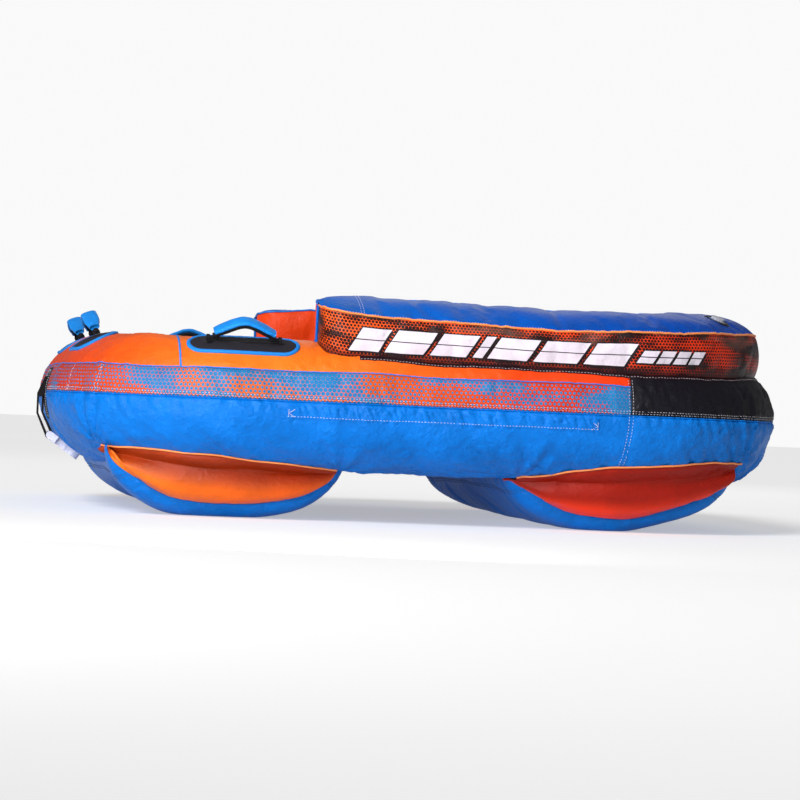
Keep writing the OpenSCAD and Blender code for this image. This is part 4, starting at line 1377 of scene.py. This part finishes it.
def pad_s(front, along):
    """Outline distance on the left for a length along the pad, which is shorter in a corner."""
    shrink = FRONT_R / (FRONT_R - TUBE_R + TUBE_R * math.cos(pad_angle(front)))
    if front:
        past = np.maximum(FRONT_HANDLE_Y + along - S_NOSE, 0)
        return np.minimum(FRONT_HANDLE_Y + along, S_NOSE) + past * shrink
    s = side_s(XM - SIDE_HANDLE_X + along)
    return np.maximum(s, S_FRONT) - np.maximum(S_FRONT - s, 0) * shrink


def stadium(front, inset, straight=40, bend=28):
    """Points round a pad's outline, set in, evenly spaced along its straight sides too."""
    radius = pad_width(front) / 2 - inset
    half = (PAD_LENGTH - pad_width(front)) / 2
    run = np.linspace(-half, half, straight, endpoint=False)
    turn = np.linspace(-math.pi / 2, math.pi / 2, bend, endpoint=False)
    low = np.stack([run, np.full(straight, -radius)], 1)
    right = np.stack([half + radius * np.cos(turn), radius * np.sin(turn)], 1)
    return np.concatenate([low, right, -low, -right])


def on_pad(front, side, flat, height):
    """Maps pad coordinates (along the grip, up the tube) to the hull."""
    s = pad_s(front, flat[:, 0])
    theta = pad_angle(front) + (flat[:, 1] - (FRONT_PAD_DROP if front else 0)) / TUBE_R
    return on_hull(s if side < 0 else other_side(s), theta, height)


def ring_stack(front, side, rings):
    """Rings round a pad, from (inset, height) pairs in millimetres."""
    return np.stack([on_pad(front, side, stadium(front, inset * MM), height * MM)[0]
                     for inset, height in rings])


def oriented(obj):
    """Turns the faces of a closed mesh outward."""
    middle = Vector(coordinates(obj.data).mean(0))
    volume = sum((face.center - middle).dot(face.normal) * face.area for face in obj.data.polygons)
    if volume < 0:
        obj.data.flip_normals()
    return obj


def build_pad(front, side, tag):
    rings = ring_stack(front, side, [(8.6, -2), (8.8, 3.2), (10.5, 3.7), (16, 4.0), (24, 4.4), (34, 4.8),
                                     (pad_width(front) / 2 / MM - 0.5, 5.0)])
    pad = oriented(closed_sections("handle_pad_" + tag, rings, "neoprene"))
    place(pad, ["pad_" + tag])
    rings = ring_stack(front, side, [(-0.2, -2), (-0.4, 2.2), (0.6, 4.2), (2.6, 5.3), (5.0, 5.6), (7.4, 5.2),
                                     (8.8, 4.1), (9.1, 2.4), (9.0, -2)])
    faces = grid_faces(*rings.shape[:2], True, True)[0].tolist()
    binding = mesh_object("handle_binding_" + tag, rings.reshape(-1, 3), faces, None, materials["binding"])
    place(oriented(binding), ["binding_" + tag])
    path, out = on_pad(front, side, stadium(front, 6.8 * MM, 90, 60), 5.3 * MM)
    path, out = (np.vstack([ring, ring[:1]]) for ring in (path, out))
    thread = stitches(path, out, 6 * MM, 3.6 * MM, 0.9 * MM, 0.6 * MM)
    place(joined("handle_pad_thread_" + tag, [thread], materials["piping_blue"]))


def arch(u, off):
    """Points of the handle's arch, off above its inner face."""
    height = ARCH_H - ARCH_K * (np.hypot(u, APEX) - APEX)
    slope = -ARCH_K * u / np.hypot(u, APEX)
    size = np.hypot(1, slope)
    return u - off * slope / size, height + off / size, np.stack([-slope / size, 1 / size], -1)


def band_mesh(name, half_span, off, thickness, widths, power, material, matrix, wrinkle=0.0):
    """A soft band along the arch. widths holds its half width at three heights, (height, half width)."""
    u = np.linspace(-half_span, half_span, 60)
    x, z, out = arch(u, off + thickness / 2)
    half_w = np.interp(z, *zip(*widths))
    turn = np.linspace(0, 2 * math.pi, 20, endpoint=False)
    cy, cn = rounded(turn, power)
    ripple = 1 + wrinkle * np.sin(u * 260 + 0.8 * np.sin(u * 90))[:, None] * np.cos(turn * 2 + 1)[None, :]
    thick = thickness / 2 * cn[None, :] * ripple
    points = np.stack([x[:, None] + out[:, :1] * thick, half_w[:, None] * cy[None, :] * ripple,
                       z[:, None] + out[:, 1:] * thick], -1) + np.array([0, 0, HINGE_N])
    obj = closed_sections(name, points, material)
    obj.data.transform(matrix)
    return oriented(obj)


def foot_roll(end):
    """The strap rolled round the hinge at one foot: (points, faces)."""
    half = [(16, 0.1), (16, 4.2), (15.2, 4.9), (8, 5.05)]
    stations = [(-at, radius) for at, radius in half] + half[::-1]
    turn = np.linspace(0, 2 * math.pi, 24, endpoint=False)
    at, radius = np.array(stations).T[..., None] * MM
    points = np.stack(np.broadcast_arrays(end * (SPAN / 2 + 2 * MM) + at, radius * np.cos(turn),
                                          HINGE_N + radius * np.sin(turn)), -1)
    return points.reshape(-1, 3), [face[::-1] for face in capped_faces(len(stations), len(turn))]


def build_handle(front, side):
    tag = ("front_" if front else "side_") + ("left" if side < 0 else "right")
    matrix = handle_matrix(front, side)
    widths = [(-8 * MM, 5 * MM), (0, 5.5 * MM), (22 * MM, 15 * MM)]
    strap = band_mesh("handle_strap_" + tag, SPAN / 2 - 1 * MM, 0.0, STRAP_T, widths, 5.0, "webbing", matrix)
    reach, fat = (SPAN / 2 + 4 * MM, 2.5 * MM) if front else (SPAN / 2 - 8 * MM, 0.6 * MM)
    widths = [(-6 * MM, 6 * MM), (4 * MM, 9.5 * MM), (27 * MM, 20 * MM)]
    grip = band_mesh("handle_grip_" + tag, reach, STRAP_T - fat, GRIP_T + fat, widths, 2.6, "grip", matrix,
                     wrinkle=0.03)
    feet = joined("handle_feet_" + tag, [foot_roll(-1), foot_roll(1)], materials["webbing"])
    feet.data.transform(matrix)
    body = "handle_" + tag
    place(strap, ["strap_" + tag], body)
    place(feet, (), body)
    place(grip, ["grip_" + tag], body)
    build_pad(front, side, tag)


for front in (True, False):
    for side in (-1, 1):
        build_handle(front, side)

# ---------- Tow patch, zip flap ----------
def build_tow_patch():
    """The plate under the tow bar, with a row of thread inside its edge."""
    half, low, high = 0.065, -24, 26         # half width on the hull, and tube angles of its ends
    s, theta = np.linspace(-half, half, 30), np.radians(np.linspace(low, high, 40))
    place(thick_patch("tow_patch_plate", s, theta, 2.4 * MM, "neoprene"), ["tow_patch"])
    half, low, high = half - 7 * MM, math.radians(low + 3), math.radians(high - 3)
    rows_of_thread = [(np.full(60, edge), np.linspace(low, high, 60)) for edge in (-half, half)]
    rows_of_thread += [(np.linspace(-half, half, 40), theta) for theta in (low, high)]
    thread = [stitches(*on_hull(*row, 2.6 * MM), 6 * MM, 4 * MM) for row in rows_of_thread]
    place(joined("tow_patch_thread", thread, materials["thread"]))


def build_zip_flap():
    """The flap over the zip, the thread along it and an arrow-shaped tack at each end."""
    lo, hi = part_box("zip_flap")
    s = np.linspace(side_s(lo.x - 6 * MM), side_s(hi.x + 6 * MM), 160)
    theta = np.radians(np.linspace(-12.5, -1.0, 9))
    place(thick_patch("zip_flap_cover", s, theta, 0.8 * MM, "blue", 1.0 * MM), ["zip_flap"])
    thread = [stitches(*on_hull(s, math.radians(-10.5), 1.1 * MM))]
    share = np.linspace(0, 1, 20)
    for end, inward in ((s[0], 1), (s[-1], -1)):
        for start, stop, run in ((-11.0, -4.0, 0.0), (-7.5, -4.0, 0.015), (-7.5, -11.0, 0.015)):
            theta = np.radians(start + (stop - start) * share)
            line = on_hull(end + inward * (0.004 + run * share), theta, 1.3 * MM)
            thread.append(stitches(*line, 3.4 * MM, 3.0 * MM, 1.6 * MM))
    place(joined("zip_flap_thread", thread, materials["thread"]))


build_tow_patch()
build_zip_flap()

# ---------- Hard parts and inner parts that keep their CAD shape ----------
def show_node(node, material, bevel=0.0):
    """Gives a CAD node its material and rounds its edges."""
    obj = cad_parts[node]
    obj.data.materials.clear()
    obj.data.materials.append(materials[material])
    if bevel:
        soften(obj, bevel, 40)


show_node("hull_bladder", "vinyl")
show_node("handle_anchor_tabs", "webbing", 0.8 * MM)
show_node("tow_anchor", "webbing", 1.0 * MM)
show_node("tow_loop", "webbing", 0.9 * MM)
show_node("tow_connector", "white_plastic", 1.4 * MM)
show_node("valve_boots", "rubber", 0.8 * MM)
show_node("valve_bodies", "grey_plastic", 0.6 * MM)
show_node("zip_tapes", "zip_tape")
show_node("zip_slider", "zip_metal", 0.3 * MM)
for at in ("backrest", "hull", "front_pontoon", "rear_pontoon"):
    show_node("leash_" + at, "grey_plastic", 0.4 * MM)
    show_node("cap_" + at, "grey_plastic", 0.6 * MM)


# ---------- Studio ----------
CAMERA_TURN = math.radians(9.4)
CAMERA_FAR = 7.84
TARGET = Vector((XM, 0, HULL_Z))
LAMPS = {                                # place, size and power
    "key": ((-2.6, -4.0, 2.4), 1.2, 30),
    "fill": ((3.8, -4.2, 2.2), 1.6, 12),
    "rear": ((1.5, 4.5, 3.2), 2.5, 25),
    "low": ((-3.3, -4.2, 0.40), 1.0, 95),
    "under": ((-0.6, -2.2, 0.10), 0.6, 7),
}


def add_light(name, kind, power, look, at=(0, 0, 0)):
    light = bpy.data.lights.new(name, kind)
    light.energy = power
    lamp = bpy.data.objects.new(name, light)
    bpy.context.scene.collection.objects.link(lamp)
    lamp.location = at
    lamp.rotation_euler = look.to_track_quat("-Z", "Y").to_euler()
    return light


def build_floor_plane():
    bpy.ops.mesh.primitive_plane_add(size=60, location=(XM, 0, 0))
    floor = bpy.context.object
    floor.name = "studio_floor"
    paint = Shader("studio_paint")
    tone = paint.noise(paint.place(), 0.6)
    paint.finish(paint.mix(tone, srgb(204, 204, 204), srgb(212, 212, 212)), 0.9)
    glow = paint.node("ShaderNodeLightPath").outputs["Is Camera Ray"]
    paint.feed(paint.bsdf.inputs["Emission Color"], (1, 1, 1, 1))
    strength = paint.between(glow, 0.0, 1.0, 0.12, 0.42, smooth=False)
    paint.feed(paint.bsdf.inputs["Emission Strength"], strength)
    floor.data.materials.append(paint.material)


def build_world():
    """White behind the object, and a dimmer white that lights it."""
    world = bpy.data.worlds.new("studio_world")
    bpy.context.scene.world = world
    world.use_nodes = True
    tree = world.node_tree
    back = tree.nodes["Background"]
    back.inputs[0].default_value = (1, 1, 1, 1)
    seen = tree.nodes.new("ShaderNodeLightPath")
    strength = tree.nodes.new("ShaderNodeMapRange")
    strength.inputs["To Min"].default_value, strength.inputs["To Max"].default_value = 0.20, 0.95
    tree.links.new(seen.outputs["Is Camera Ray"], strength.inputs["Value"])
    tree.links.new(strength.outputs[0], back.inputs[1])


def build_lights():
    sun = add_light("sky", "SUN", 2.0, Vector((0.55, 0.75, -0.75)))
    sun.angle = math.radians(20)
    for name, (at, size, power) in LAMPS.items():
        light = add_light(name, "AREA", power, TARGET - Vector(at), at)
        light.size = size


def build_camera():
    data = bpy.data.cameras.new("camera")
    data.lens = 130.5
    data.shift_x, data.shift_y = 0.00625, 0.01125
    camera = bpy.data.objects.new("camera", data)
    bpy.context.scene.collection.objects.link(camera)
    at = Vector((XM - CAMERA_FAR * math.sin(CAMERA_TURN), -CAMERA_FAR * math.cos(CAMERA_TURN), HULL_Z))
    look = (TARGET - at).to_track_quat("-Z", "Y").to_matrix().to_4x4()
    roll = Matrix.Rotation(math.radians(2.5), 4, "Z")
    camera.matrix_world = Matrix.Translation(at) @ look @ roll
    bpy.context.scene.camera = camera


build_floor_plane()
build_world()
build_lights()
build_camera()
bpy.context.scene.view_settings.view_transform = "Standard"
